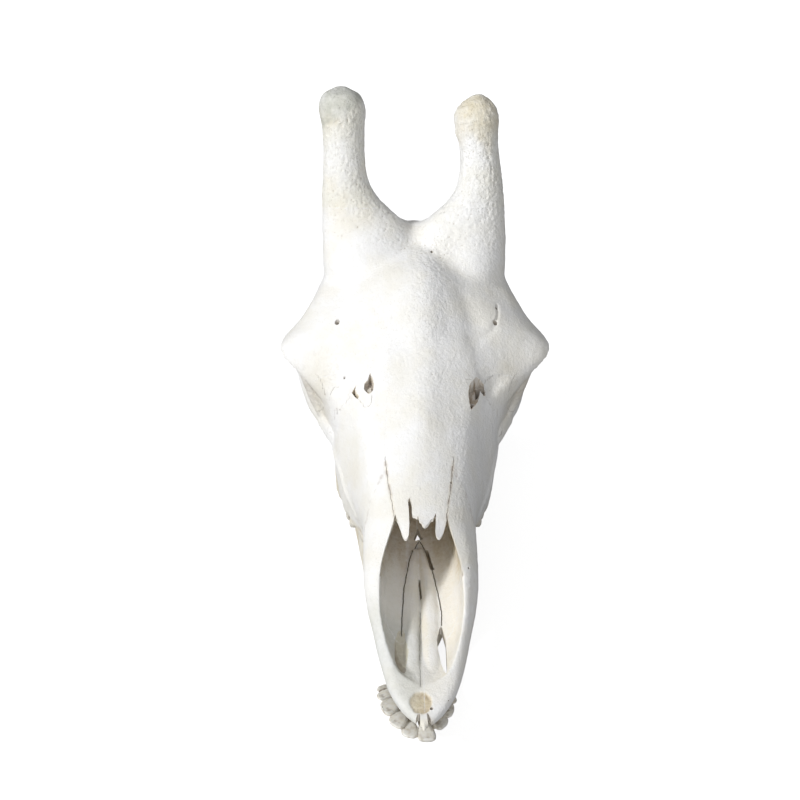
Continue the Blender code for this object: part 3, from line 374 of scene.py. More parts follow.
JAW_HOLES = (
    ((27, 84, -42), (-1, 0.5, 0), 3.2, 12),
    ((24, 70, -36), (-1, 0.4, 0), 1.4, 7),
    ((60, 446, -24), (1, -0.2, -0.4), 4, 7),
)

# Front teeth of the lower jaw, from the middle out: foot and edge (x, s, h), the way that the edge
# faces (x, s), width and thickness
FRONT_TEETH = {
    "left": (
        ((7, 34, -23), (7.9, -3.4, -8.5), (1, 0.05), 17, 11.5),
        ((13, 46, -22), (24, 16.5, -8.5), (0.62, 0.78), 18, 10.5),
        ((17, 60, -21), (32, 34, -9), (0.42, 0.9), 20, 10),
        ((19, 74, -20), (36.5, 52, -8), (0.12, 0.99), 19, 9),
    ),
    "right": (
        ((6.5, 34, -23), (7.8, 3, -9), (1, 0.2), 16, 10.5),
        ((13, 46, -22), (22, 17, -8.5), (0.74, 0.67), 18.5, 10.5),
        ((17, 60, -21), (32.4, 36.5, -8.5), (0.42, 0.9), 20, 10.5),
        ((19, 74, -20), (37.6, 57, -7.5), (0.1, 0.99), 19, 10),
    ),
}


def rail(knots):
    """A smooth curve through knots (place, value, ...) that never overshoots them."""
    table = np.array(knots, float)
    place, value = table[:, 0], table[:, 1:]
    step = np.diff(place)[:, None]
    slope = np.diff(value, axis=0) / step
    tangent = np.zeros_like(value)
    before, after = slope[:-1], slope[1:]
    turning = before * after <= 0
    mean = 2 * before * after / np.where(turning, 1, before + after)
    tangent[1:-1] = np.where(turning, 0, mean)
    tangent[0], tangent[-1] = slope[0], slope[-1]

    def at(where):
        i = int(np.clip(np.searchsorted(place, where) - 1, 0, len(place) - 2))
        width = place[i + 1] - place[i]
        t = min(max((where - place[i]) / width, 0), 1)
        return (
            value[i] * (1 + 2 * t) * (1 - t) ** 2
            + value[i + 1] * t * t * (3 - 2 * t)
            + tangent[i] * width * t * (1 - t) ** 2
            + tangent[i + 1] * width * t * t * (t - 1)
        )

    return at


def closed_ring(corners, steps):
    """Points of a smooth closed curve through corners."""
    ring = []
    count = len(corners)
    for i in range(count):
        a, b, c, d = (np.array(corners[(i + k) % count], float) for k in (-1, 0, 1, 2))
        for k in range(steps):
            t = k / steps
            ring.append(0.5 * (2 * b + (c - a) * t + (2 * a - 5 * b + 4 * c - d) * t**2
                               + (3 * b - a - 3 * c + d) * t**3))
    return ring


def bone_point(place):
    """Metres, in the skull's own frame, of a place (x, s, h) in millimetres."""
    return Vector(place) * MM


def mesh_object(name, bm):
    """An object that holds bm, with its faces pointing out."""
    bmesh.ops.recalc_face_normals(bm, faces=bm.faces)
    mesh = bpy.data.meshes.new(name)
    bm.to_mesh(mesh)
    bm.free()
    made = bpy.data.objects.new(name, mesh)
    bpy.context.scene.collection.objects.link(made)
    return made


def loft(name, rings):
    """A closed solid through rings of equally many places."""
    bm = bmesh.new()
    loops = [[bm.verts.new(bone_point(p)) for p in ring] for ring in rings]
    for near, far in zip(loops, loops[1:]):
        for i in range(len(near)):
            k = (i + 1) % len(near)
            bm.faces.new((near[i], near[k], far[k], far[i]))
    bm.faces.new(loops[0])
    bm.faces.new(loops[-1])
    bmesh.ops.triangulate(bm, faces=[f for f in bm.faces if len(f.verts) > 4])
    return mesh_object(name, bm)


def hull(name, rails):
    """A solid, alike on both sides of the midline, skinned over rails (s, x, h) from roof to floor."""
    curves = [rail(knots) for knots in rails]
    first, last = rails[0][0][0], rails[0][-1][0]
    count = math.ceil((last - first) / STATION_STEP)
    rings = []
    for i in range(count + 1):
        s = first + (last - first) * i / count
        half = [curve(s) for curve in curves]
        corners = [(x, s, h) for x, h in half]
        corners += [(-x, s, h) for x, h in half[-2:0:-1]]
        rings.append(closed_ring(corners, RING_STEPS))
    return loft(name, rings)


def bar(name, knots, side=1, sides=20, spacing=4):
    """A tapered bar with an oval section, through knots (x, s, h, half height, half thickness)."""
    table = np.array(knots, float)
    table[:, 0] *= side
    reach = np.concatenate([[0], np.cumsum(np.linalg.norm(np.diff(table[:, :3], axis=0), axis=1))])
    curve = rail(np.column_stack([reach, table]))
    count = max(2, round(reach[-1] / spacing))
    marks = [curve(reach[-1] * i / count) for i in range(count + 1)]
    rings = []
    across = Vector((1, 0, 0))
    for i, mark in enumerate(marks):
        ahead = Vector(marks[min(i + 1, count)][:3] - marks[max(i - 1, 0)][:3]).normalized()
        level = ahead.cross(Vector((0, 0, 1)))
        if level.length < 0.35:
            level = across - ahead * across.dot(ahead)
        across = (level if level.dot(across) > 0 else -level).normalized()
        up = across.cross(ahead)
        centre = Vector(mark[:3])
        rings.append([
            centre + up * mark[3] * math.sin(turn) + across * mark[4] * math.cos(turn)
            for turn in (2 * math.pi * k / sides for k in range(sides))
        ])
    return loft(name, rings)


def ball(name, place, radii, turn=0, side=1, segments=28):
    """An ellipsoid about (x, s, h), turned about the upright by turn degrees."""
    bm = bmesh.new()
    bmesh.ops.create_uvsphere(bm, u_segments=segments, v_segments=segments // 2, radius=1)
    size = Matrix.Diagonal((*(r * MM for r in radii), 1))
    x, s, h = place
    about = Matrix.Rotation(math.radians(turn * side), 4, "Z")
    bm.transform(Matrix.Translation(bone_point((x * side, s, h))) @ about @ size)
    return mesh_object(name, bm)


def drill(name, mouth, way, radius, depth, side=1):
    """A round cutter that enters at mouth and narrows a little as it goes in."""
    way = Vector(way).normalized()
    start = Vector(mouth) - way * 4
    end = Vector(mouth) + way * depth
    return bar(name, ((*start, radius * 1.15, radius * 1.15), (*end, radius * 0.8, radius * 0.8)), side, 14)


def prism(name, outline, axis, low, high):
    """An outline pushed from low to high along an axis: x for one in (s, h), h for one in (x, s)."""
    rings = []
    for depth in (low, high):
        rings.append([(depth, a, b) if axis == "x" else (a, b, depth) for a, b in outline])
    return loft(name, rings)


def blade(name, rows, width=SEAM):
    """A sheet of that width through rows of places, each row as long as the next."""
    bm = bmesh.new()
    grid = [[bm.verts.new(bone_point(p)) for p in row] for row in rows]
    for near, far in zip(grid, grid[1:]):
        for i in range(len(near) - 1):
            bm.faces.new((near[i], near[i + 1], far[i + 1], far[i]))
    sheet = mesh_object(name, bm)
    thick = sheet.modifiers.new("thick", "SOLIDIFY")
    thick.thickness = width * MM
    thick.offset = 0
    thick.use_even_offset = True
    thick.thickness_clamp = 0
    return settle(sheet)


def side_blade(name, path, near, far, width=SEAM):
    """A sheet that follows a path (s, h) and reaches from x = near to x = far."""
    return blade(name, [[(x, s, h) for s, h in path] for x in (near, far)], width)


def settle(obj):
    """Applies every modifier of obj."""
    graph = bpy.context.evaluated_depsgraph_get()
    mesh = bpy.data.meshes.new_from_object(obj.evaluated_get(graph))
    obj.modifiers.clear()
    obj.data = mesh
    return obj


def join_loose(name, pieces):
    """The pieces' meshes in one object, overlaps and all."""
    bm = bmesh.new()
    for piece in pieces:
        bm.from_mesh(piece.data)
        bpy.data.objects.remove(piece)
    return mesh_object(name, bm)


def soften(obj, rounds, group=""):
    """Sets obj to be smoothed by rounds, only as far as a vertex group says where one is named."""
    soft = obj.modifiers.new("soften", "SMOOTH")
    soft.factor = 0.5
    soft.iterations = rounds
    soft.vertex_group = group


def remesh(obj, grain, smoothing):
    """Fuses what overlaps in obj into one skin, with its creases softened."""
    skin = obj.modifiers.new("fuse", "REMESH")
    skin.mode = "VOXEL"
    skin.voxel_size = grain * MM
    soften(obj, smoothing)
    return settle(obj)


def boolean(obj, others, operation):
    """Joins or cuts obj with other solids, which are then removed."""
    group = bpy.data.collections.new(operation.lower())
    for other in others:
        group.objects.link(other)
    work = obj.modifiers.new("work", "BOOLEAN")
    work.operation = operation
    work.operand_type = "COLLECTION"
    work.collection = group
    work.solver = "MANIFOLD"
    settle(obj)
    for other in others:
        bpy.data.objects.remove(other)
    bpy.data.collections.remove(group)
    return obj


def carve(obj, cutters):
    """Cuts the cutters out of obj."""
    return boolean(obj, cutters, "DIFFERENCE")


def rows_of(mesh, key):
    """Three numbers for each vertex of a mesh, one row each."""
    flat = np.empty(len(mesh.vertices) * 3, np.float32)
    mesh.vertices.foreach_get(key, flat)
    return flat.reshape(-1, 3).astype(float)


def places_of(obj):
    """The vertices of obj as places (x, s, h), one row each."""
    return rows_of(obj.data, "co") / MM


def put_places(obj, places):
    """Moves the vertices of obj to those places."""
    obj.data.vertices.foreach_set("co", (places * MM).astype(np.float32).ravel())
    obj.data.update()


def normals_of(obj):
    """The normals at the vertices of obj, one row each."""
    return rows_of(obj.data, "normal")


def ramp(low, high, value):
    """Rises from 0 at low to 1 at high."""
    return np.clip((value - low) / (high - low), 0, 1)


def soft_ramp(low, high, value):
    """The same, with a soft start and end."""
    t = ramp(low, high, value)
    return t * t * (3 - 2 * t)


def band(start, full, last, end, value):
    """Rises from 0 at start to 1 at full, and falls from 1 at last to 0 at end."""
    return soft_ramp(start, full, value) * soft_ramp(end, last, value)


def blob(values, middle, radii):
    """1 at a middle and less away from it, where values holds an array for each coordinate."""
    return np.exp(-sum(((v - m) / r) ** 2 for v, m, r in zip(values, middle, radii)))


def dice(cells, seed):
    """A number from 0 to 1 for each whole-numbered cell (a row of three), the same each time."""
    mixed = (cells[:, 0] * 73856093) ^ (cells[:, 1] * 19349663) ^ (cells[:, 2] * 83492791) ^ (seed * 26544357)
    mixed = (mixed ^ (mixed >> 15)) * 2246822519 & 0xFFFFFFFF
    mixed = (mixed ^ (mixed >> 13)) * 3266489917 & 0xFFFFFFFF
    return ((mixed ^ (mixed >> 16)) & 0xFFFFFF) / 0xFFFFFF


def bumps(places, seed):
    """Smooth noise from -1 to 1, with a bump or dip to each unit of length."""
    cell = np.floor(places).astype(np.int64)
    part = places - cell
    part = part * part * (3 - 2 * part)
    total = np.zeros(len(places))
    for corner in itertools.product((0, 1), repeat=3):
        weight = np.prod(np.where(np.array(corner) == 1, part, 1 - part), axis=1)
        total += weight * (2 * dice(cell + corner, seed) - 1)
    return total


def fractal(places, size, octaves, seed):
    """Bumps of that size in millimetres, with finer ones on them."""
    total = np.zeros(len(places))
    for k in range(octaves):
        total += bumps(places * 2**k / size + 31.7 * k, seed + k) / 2**k
    return total


def pits(places, spacing, radius, chance, seed):
    """Depth from 0 to 1 of small round pits, strewn at about that spacing."""
    scaled = places / spacing
    cell = np.floor(scaled).astype(np.int64)
    deep = np.zeros(len(places))
    for step in itertools.product((-1, 0, 1), repeat=3):
        near = cell + step
        middle = near + np.column_stack([dice(near, seed + k) for k in range(3)])
        apart = np.linalg.norm(scaled - middle, axis=1) * spacing
        size = radius * (0.5 + 0.8 * dice(near, seed + 5))
        here = dice(near, seed + 4) < chance
        deep = np.maximum(deep, np.where(here, np.clip(1 - (apart / size) ** 2, 0, 1), 0))
    return deep


def path_distance(flat, path):
    """How far each point (a row of coordinates) lies from a path of such points."""
    path = np.array(path, float)
    best = np.full(len(flat), 1e9)
    for a, b in zip(path, path[1:]):
        along = b - a
        t = np.clip((flat - a) @ along / (along @ along), 0, 1)
        best = np.minimum(best, np.linalg.norm(flat - a - t[:, None] * along, axis=1))
    return best


def near_path(flat, path, width):
    """1 on a path and less away from it."""
    return np.exp(-((path_distance(flat, path) / width) ** 2))


def wander(path, step, amount, seed):
    """The path, resampled, that strays to both sides by up to amount, as a seam does."""
    path = np.array(path, float)
    reach = np.concatenate([[0], np.cumsum(np.linalg.norm(np.diff(path, axis=0), axis=1))])
    count = max(2, int(round(reach[-1] / step)))
    marks = np.linspace(0, reach[-1], count + 1)
    line = np.column_stack([np.interp(marks, reach, path[:, k]) for k in range(2)])
    ahead = np.gradient(line, axis=0)
    ahead /= np.linalg.norm(ahead, axis=1)[:, None]
    cells = np.column_stack([np.arange(count + 1), np.full(count + 1, seed), np.zeros(count + 1, int)])
    stray = (2 * dice(cells, seed) - 1) * amount
    stray[[0, -1]] = 0
    return line + np.column_stack([-ahead[:, 1], ahead[:, 0]]) * stray[:, None]


def horn_place(places):
    """How far up the horns' axis each place lies, and how far in front of it."""
    lean = math.radians(HORN_LEAN)
    back, rise = places[:, 1] - HORN_FOOT[0], places[:, 2] - HORN_FOOT[1]
    return back * math.cos(lean) + rise * math.sin(lean), rise * math.cos(lean) - back * math.sin(lean)


def horn_weight(places):
    """How far each place lies on the shaft of a horn."""
    return soft_ramp(35, 85, horn_place(places)[0]) * soft_ramp(190, 230, places[:, 2])


def brow_weight(places):
    """How far each place lies in the smooth brow round the feet of the horns."""
    x, s, h = np.abs(places[:, 0]), places[:, 1], places[:, 2]
    return ramp(350, 400, s) * ramp(560, 520, s) * ramp(120, 160, h) * ramp(112, 96, x) * ramp(275, 245, h)


def melt(obj, weights, rounds):
    """Smooths obj by rounds, as strongly as weights say for each vertex."""
    group = obj.vertex_groups.new(name="melt")
    levels = np.round(weights * 20).astype(int)
    for level in range(1, 21):
        group.add([int(i) for i in np.flatnonzero(levels == level)], level / 20, "REPLACE")
    soften(obj, rounds, "melt")
    settle(obj)
    obj.vertex_groups.clear()
    return obj


def horn_ring(side_name, along, across, fore, sides=24):
    """A ring square to a horn's axis, with its half widths across and fore and aft."""
    lean = math.radians(HORN_LEAN)
    x = rail(HORNS[side_name]["axis"])(along)[0]
    s, h = HORN_FOOT[0] + along * math.cos(lean), HORN_FOOT[1] + along * math.sin(lean)
    ring = []
    for k in range(sides):
        turn = 2 * math.pi * k / sides
        behind = fore * math.sin(turn)
        ring.append((x + across * math.cos(turn), s + behind * math.sin(lean), h - behind * math.cos(lean)))
    return ring


def horn(name, side_name):
    """One horn, from its foot sunk in the brow to its tip."""
    across, fore = rail(HORNS[side_name]["across"]), rail(HORNS[side_name]["along"])
    marks = np.linspace(HORN_ROOT, HORNS[side_name]["across"][-1][0], 32)
    return loft(name, [horn_ring(side_name, m, across(m)[0], fore(m)[0]) for m in marks])


def skull_mass():
    """Everything of the upper skull but its teeth, fused, before any hollow is cut."""
    pieces = [
        hull("face", FACE_RAILS),
        hull("brain", BRAIN_RAILS),
        hull("brow", BROW_RAILS),
        hull("cheek", CHEEK_RAILS),
        bar("saddle", SADDLE),
    ]
    for name, side in SIDES.items():
        pieces += [
            horn("horn_" + name, name),
            bar("nape", NAPE_BAR, side),
            ball("condyle", CONDYLE[:3], CONDYLE[3:], 20, side),
            ball("ear_bulb", EAR_BULB[:3], EAR_BULB[3:], 0, side),
            ball("jaw_socket", JAW_SOCKET[:3], JAW_SOCKET[3:], 0, side),
            bar("ear_stalk", EAR_STALK, side),
            bar("ear_tube", EAR_TUBE, side),
            bar("palate_wing", PALATE_WING, side),
        ]
    mass = remesh(join_loose("skull", pieces), CORE_GRAIN, SOFTENING)
    return melt(mass, brow_weight(places_of(mass)), BROW_MELT)


def skull_skin():
    """The hollow upper skull, with the bars round its sockets, as one fine skin."""
    x, s, h, radius = SPINE_HOLE
    spine = ((x, s, h, radius, radius), (x, s - SPINE_DEPTH, h + 4, radius, radius))
    cutters = [hull("nose", NOSE_RAILS), bar("spine", spine), ball("choana", CHOANA_PLACE, CHOANA_RADII)]
    for side in SIDES.values():
        cutters.append(ball("socket", SOCKET_PLACE, SOCKET_RADII, SOCKET_TURN, side, 36))
    pieces = [carve(skull_mass(), cutters), bar("tip_peg", TIP_PEG)]
    for side in SIDES.values():
        pieces += [
            bar("cheek_bar", CHEEK_BAR, side),
            bar("tear_rim", TEAR_RIM, side),
            bar("post_bar", POST_BAR, side),
            bar("floor_bar", FLOOR_BAR, side),
        ]
    return remesh(join_loose("skull", pieces), BONE_GRAIN, SOFTENING)


def horn_cap(places):
    """How far each place lies in the cap of a horn: on the skull's left horn, and on its right one."""
    up = horn_place(places)[0]
    x = places[:, 0]
    high = soft_ramp(230, 250, places[:, 2])
    stray = 3 * bumps(places / 9, 51)
    left = soft_ramp(118, 156, up + 2.4 * stray) * high * (x > 0)
    right = soft_ramp(-5, 5, up - (146 + 0.62 * (x + 84)) + stray) * high * (x < 0)
    return left, right


# Low ridges and, below 0, grooves, from the side (s, h) or above (x, s), with width and height
RELIEF_SIDE = (
    (((262, 34), (285, 40), (312, 50), (340, 58), (366, 62)), 4.5, 1.6),
    (((505, 178), (530, 158), (556, 138), (578, 118)), 4, 1.6),
    (((500, 84), (525, 92), (550, 104), (570, 112)), 3.5, 1.2),
    (((222, 40), (208, 36), (190, 33), (170, 31)), 3, -1.1),
    (((371, 100), (362, 99), (355, 95)), 2, -0.7),
)
RELIEF_ABOVE = (
    (((6, 290), (9, 330), (11, 370), (12, 410), (13, 450)), 15, 2.2),
    (((80, 416), (80.8, 408), (80.4, 402), (78.3, 395)), 1.4, -1.0),
    (((78.3, 395), (76.2, 389), (70, 382.4), (62, 377), (52, 374)), 2.6, -0.8),
    (((36, 452), (44, 432), (50, 412), (54, 394)), 16, -2.6),
    (((46, 408), (54, 396), (58, 385), (56, 372)), 10, -1.0),
    (((-76.7, 396), (-74, 386), (-66, 379), (-56, 376)), 2, -0.35),
)


def tooth_swell(s, teeth):
    """How far the bone swells over each tooth's root, from 0 to 1."""
    swell = np.zeros(len(s))
    for middle, _, length, _, lobes in teeth:
        for k in range(lobes):
            at = middle + length * ((k + 0.5) / lobes - 0.5)
            swell = np.maximum(swell, np.exp(-(((s - at) / (0.3 * length / lobes)) ** 2)))
    return swell


def lines_relief(places, normals):
    """Ridges and grooves of the upper skull, in millimetres out."""
    above, side = places[:, :2], places[:, 1:]
    looks_up = soft_ramp(0.1, 0.5, normals[:, 2])
    looks_out = soft_ramp(0.15, 0.5, np.abs(normals[:, 0])) * soft_ramp(20, 34, np.abs(places[:, 0]))
    depth = np.zeros(len(places))
    for path, width, height in RELIEF_SIDE:
        depth += height * near_path(side, path, width) * looks_out
    for path, width, height in RELIEF_ABOVE:
        depth += height * near_path(above, path, width) * looks_up
    return depth


def tip_patch(places):
    """How far each place lies in the rough hollow near the tip of the upper jaw."""
    x, s, h = places.T
    middle_x, middle_s, radius_x, radius_s = TIP_PATCH
    apart = np.hypot((x - middle_x) / radius_x, (s - middle_s) / radius_s) + 0.06 * bumps(places / 4, 57)
    return soft_ramp(1.16, 0.86, apart) * soft_ramp(2, 5, h)


# Single marks, as a place (x, s, h), (x, s) or (s, h) and its radii
HORN_KNOB = ((44, 540, 292), (7.5, 7.5, 7.5))
BROW_PIT = ((18, 440), (9, 20))
FACE_DIP = ((76, 343, 112), (13, 15, 16))
JAW_HOLLOW = ((468, -30), (20, 34))
# From where to where along the skull the cheek teeth swell the bone, above and below
UPPER_REACH = (222, 232, 374, 384)
LOWER_REACH = (224, 234, 374, 384)
FAN_MIDDLE = (440, -20)  # where the ridges at the angle of the jaw spread from, as (s, h)


def skull_relief(places, normals):
    """How far the upper skull's surface stands out or in at each place, in millimetres."""
    x, s, h = places.T
    wide = np.abs(x)
    up, fore = horn_place(places)
    inside_nose = soft_ramp(140, 180, s) * soft_ramp(34, 26, wide) * soft_ramp(96, 84, h - (s - 200) * 0.45)
    on_horn = horn_weight(places)
    stretched = np.column_stack([x / 2.9, fore / 2.9, up / 6.5])
    fibres = np.column_stack([x / 1.9, s / 13, h / 1.9])
    left_cap, right_cap = horn_cap(places)
    shaft = on_horn * (1 - 0.7 * (left_cap + right_cap))
    depth = 0.14 * fractal(places, 6, 3, 11) + 0.45 * fractal(places, 42, 2, 21)
    depth += shaft * 0.75 * (0.45 - np.abs(fractal(stretched, 1, 2, 31)))
    depth += left_cap * (0.8 * fractal(places, 10, 2, 41) + 0.42 * fractal(places, 3.4, 2, 43))
    depth += right_cap * (0.4 * fractal(places, 13, 2, 45) + 0.2 * fractal(places, 3.2, 2, 47) + 0.2)
    depth += 2.4 * blob((x, s, h), *HORN_KNOB)
    # Fibres along the snout, and rough bone on the brow, the feet of the horns and the crest at the nape
    depth += (1 - on_horn) * band(60, 110, 290, 340, s) * 0.12 * fractal(fibres, 1, 2, 35)
    middle = blob((x,), (12,), (26,)) * band(230, 330, 462, 490, s) * soft_ramp(105, 125, h)
    foot = band(8, 30, 60, 92, up) * soft_ramp(185, 210, h)
    crest = soft_ramp(560, 580, s) * soft_ramp(84, 100, h)
    pit = blob((x, s), *BROW_PIT) * soft_ramp(150, 180, h)
    rough = np.clip(0.6 * middle + 0.75 * foot + crest + 0.75 * shaft + pit, 0, 1)
    depth += (0.16 + 0.84 * rough) * 0.36 * fractal(places, 2.6, 2, 61)
    depth -= rough * 0.8 * pits(places, 3.6, 1.1, 0.42, 63)
    depth += crest * 0.9 * fractal(places, 7, 2, 67) - pit * 0.9 * np.abs(fractal(places, 5, 2, 69))
    depth -= tip_patch(places) * (0.9 + 0.7 * np.abs(fractal(places, 3, 2, 55)))
    # The roots of the cheek teeth swell the bone over them, and it thins between them
    beside = soft_ramp(0.2, 0.6, np.abs(normals[:, 0])) * soft_ramp(28, 36, wide)
    beside *= soft_ramp(30, 4, h) * soft_ramp(-6, 0, h) * band(*UPPER_REACH, s)
    depth += beside * (1.5 * tooth_swell(s, UPPER_TEETH) - 0.5)
    depth -= beside * soft_ramp(12, 3, h) * 0.6 * pits(places, 3.4, 1.1, 0.5, 71)
    depth -= 1.2 * blob((wide, s, h), *FACE_DIP)
    depth += lines_relief(places, normals)
    return depth * (1 - 0.5 * inside_nose)


def jaw_relief(places, normals):
    """How far the lower jaw's surface stands out or in at each place, in millimetres."""
    x, s, h = places.T
    outer = soft_ramp(0.2, 0.6, normals[:, 0] * np.sign(x))
    depth = 0.15 * fractal(places, 6, 3, 111) + 0.35 * fractal(places, 36, 2, 121)
    beside = soft_ramp(-58, -38, h) * band(*LOWER_REACH, s) * soft_ramp(0.2, 0.6, np.abs(normals[:, 0]))
    depth += beside * (1.1 * tooth_swell(s, LOWER_TEETH) - 0.4)
    # Fan of low ridges at the angle, where the chewing muscle held
    turn = np.arctan2(h - FAN_MIDDLE[1], s - FAN_MIDDLE[0])
    fan = soft_ramp(425, 445, s) * soft_ramp(-40, -70, h)
    ridges = np.sin(turn * 34 + 2.2 * bumps(places / 14, 131))
    depth += fan * (0.55 * ridges + 0.3 * fractal(places, 4, 2, 133))
    depth -= outer * 1.3 * blob((s, h), *JAW_HOLLOW)
    chin = soft_ramp(92, 70, s)
    depth += chin * 0.25 * fractal(places, 3, 2, 141) - chin * 0.6 * pits(places, 3.8, 1.1, 0.4, 143)
    return depth * soft_ramp(0, 6, np.abs(x) + 3)


def swell(obj, heights):
    """Moves each vertex of obj along its normal, by its height in millimetres."""
    put_places(obj, places_of(obj) + normals_of(obj) * heights[:, None])
    return obj


def sculpt(obj, relief):
    """Swells obj by relief(places, normals)."""
    return swell(obj, relief(places_of(obj), normals_of(obj)))


# How far out lines are laid on the surface from: above it, above the nose's floor, and beside it
LOOK_FROM = {"above": 600, "floor": 34, "side": 200}


def surface_line(tree, line, view, side):
    """The line laid on the surface: from above (x, s) gives h, from the side (s, h) gives x."""
    laid = []
    for a, b in line:
        if view == "side":
            start, way = (LOOK_FROM[view] * side, a, b), (-side, 0, 0)
        else:
            start, way = (a, b, LOOK_FROM[view]), (0, 0, -1)
        hit = tree.ray_cast(bone_point(start), Vector(way))[0]
        if hit is not None:
            laid.append(hit / MM)
    return laid


def scores(tree, paths, view, side, width, deep, stray, seed):
    """Thin cutters that score wandering lines in the surface."""
    cutters = []
    for i, path in enumerate(paths):
        laid = surface_line(tree, wander(path, 1.7, stray, seed + i), view, side)
        if len(laid) < 3:
            continue
        way = Vector((side, 0, 0)) if view == "side" else Vector((0, 0, 1))
        rows = [[p - way * deep for p in laid], [p + way * 1.5 for p in laid]]
        cutters.append(blade("score", rows, width))
    return cutters


def squared(value, power):
    """A sine or cosine drawn out towards 1 and -1, for a section with fuller corners."""
    return math.copysign(abs(value) ** power, value)


def tooth_outline(tooth, scale, sides):
    """Outline of a cheek tooth about its middle, as (along the row, across it)."""
    _, _, length, width, lobes = tooth
    ring = []
    for k in range(sides):
        turn = 2 * math.pi * (k + 0.5) / sides
        along = squared(math.cos(turn), 0.7) * length / 2
        across = squared(math.sin(turn), 0.7) * width / 2
        if lobes > 1:
            across *= 0.9 - 0.1 * math.cos(2 * math.pi * lobes * (along / length + 0.5))
        ring.append((along * scale, across * scale))
    return ring


def tooth_place(tooth, slope, side, along, across, h):
    """The place in the skull of a point at height h of a cheek tooth, which turns with its row."""
    s, x = tooth[:2]
    return (x + across + along * slope) * side, s + along - across * slope, h


def socket_cutter(tooth, slope, gum, up, side):
    """The hollow in the gum bone that a cheek tooth stands in."""
    rings = []
    for level, grow in ((-TOOTH_ROOT - 2, 0.3), (-3, SOCKET_ROOM), (6, SOCKET_ROOM + 0.9)):
        ring = []
        for along, across in tooth_outline(tooth, 0.9, 28):
            reach = math.hypot(along, across)
            along, across = (v * (1 + grow / reach) for v in (along, across))
            ring.append(tooth_place(tooth, slope, side, along, across, gum - up * level))
        rings.append(ring)
    return loft("socket", rings)


# Rings of a cheek tooth: (part of the crown's height, scale), from the root over the rim into the hollow
TOOTH_RINGS = ((-0.6, 0.74), (-0.3, 0.84), (-0.1, 0.89), (0.0, 0.9), (0.08, 0.93), (0.22, 0.98), (0.4, 1.0),
               (0.58, 0.99), (0.74, 0.96), (0.88, 0.91), (0.97, 0.86), (1.0, 0.8), (0.97, 0.72), (0.88, 0.64),
               (0.74, 0.55), (0.66, 0.46), (0.72, 0.36), (0.84, 0.26), (0.86, 0.16), (0.8, 0.07))
TOOTH_SIDES = 64


def cheek_tooth(tooth, slope, gum, crown, side, seed):
    """One cheek tooth: root, ribbed and wrinkled crown, a rim of worn cusps and crescent hollows inside."""
    _, _, length, _, lobes = tooth
    up = 1 if crown > 0 else -1
    tall = abs(crown)
    rings = []
    for part, scale in TOOTH_RINGS:
        ring = []
        for along, across in tooth_outline(tooth, scale, TOOTH_SIDES):
            share = along / (length * scale) + 0.5
            cusp = 0.5 * (1 - math.cos(2 * math.pi * lobes * share))
            rim = min(max((part - 0.55) / 0.45, 0), 1) if scale > 0.5 else 0.6
            level = part * tall - rim * (2.6 - 3.4 * cusp)
            if scale > 0.5 and part > 0:
                rib = 0.45 * math.cos(2 * math.pi * (2 * lobes) * share) * min(part * 3, 1)
                across += math.copysign(rib, across)
            ring.append(tooth_place(tooth, slope, side, along, across, gum - up * level))
        rings.append(ring)
    made = loft("tooth", rings)
    places = places_of(made)
    crown_part = ramp(-0.5, 2.5, (gum - places[:, 2]) * up)
    wrinkle = 0.2 * fractal(places * (1.25, 1.25, 0.6), 1.9, 2, 200 + seed)
    wrinkle += 0.22 * fractal(places, 6, 1, 230 + seed)
    return swell(made, wrinkle * (0.3 + 0.7 * crown_part))


def row_slope(teeth, i):
    """How far the row runs outward for each millimetre back, at tooth i."""
    before, after = teeth[max(i - 1, 0)], teeth[min(i + 1, len(teeth) - 1)]
    return (after[1] - before[1]) / (after[0] - before[0])


def tooth_row(name, teeth, gum, crown, side, seed):
    """All cheek teeth of one row in one piece."""
    row = [cheek_tooth(t, row_slope(teeth, i), gum, crown, side, seed + i) for i, t in enumerate(teeth)]
    return join_loose(name, row)


def row_sockets(teeth, gum, up, side):
    """Cutters for the sockets of one row."""
    return [socket_cutter(t, row_slope(teeth, i), gum, up, side) for i, t in enumerate(teeth)]


# Rings of a front tooth: (part of the way from foot to edge, part of its width, part of its thickness)
FRONT_RINGS = ((-0.6, 0.42, 0.55), (-0.3, 0.5, 0.7), (0, 0.56, 0.84), (0.12, 0.6, 0.9), (0.2, 0.66, 0.96),
               (0.3, 0.78, 1.0), (0.42, 0.88, 0.98), (0.56, 0.96, 0.9), (0.7, 1.0, 0.78), (0.82, 1.0, 0.62),
               (0.92, 0.97, 0.46), (0.98, 0.92, 0.32), (1.0, 0.86, 0.2))
FRONT_SIDES = 48
CLEFT_TOOTH = 3  # the outermost


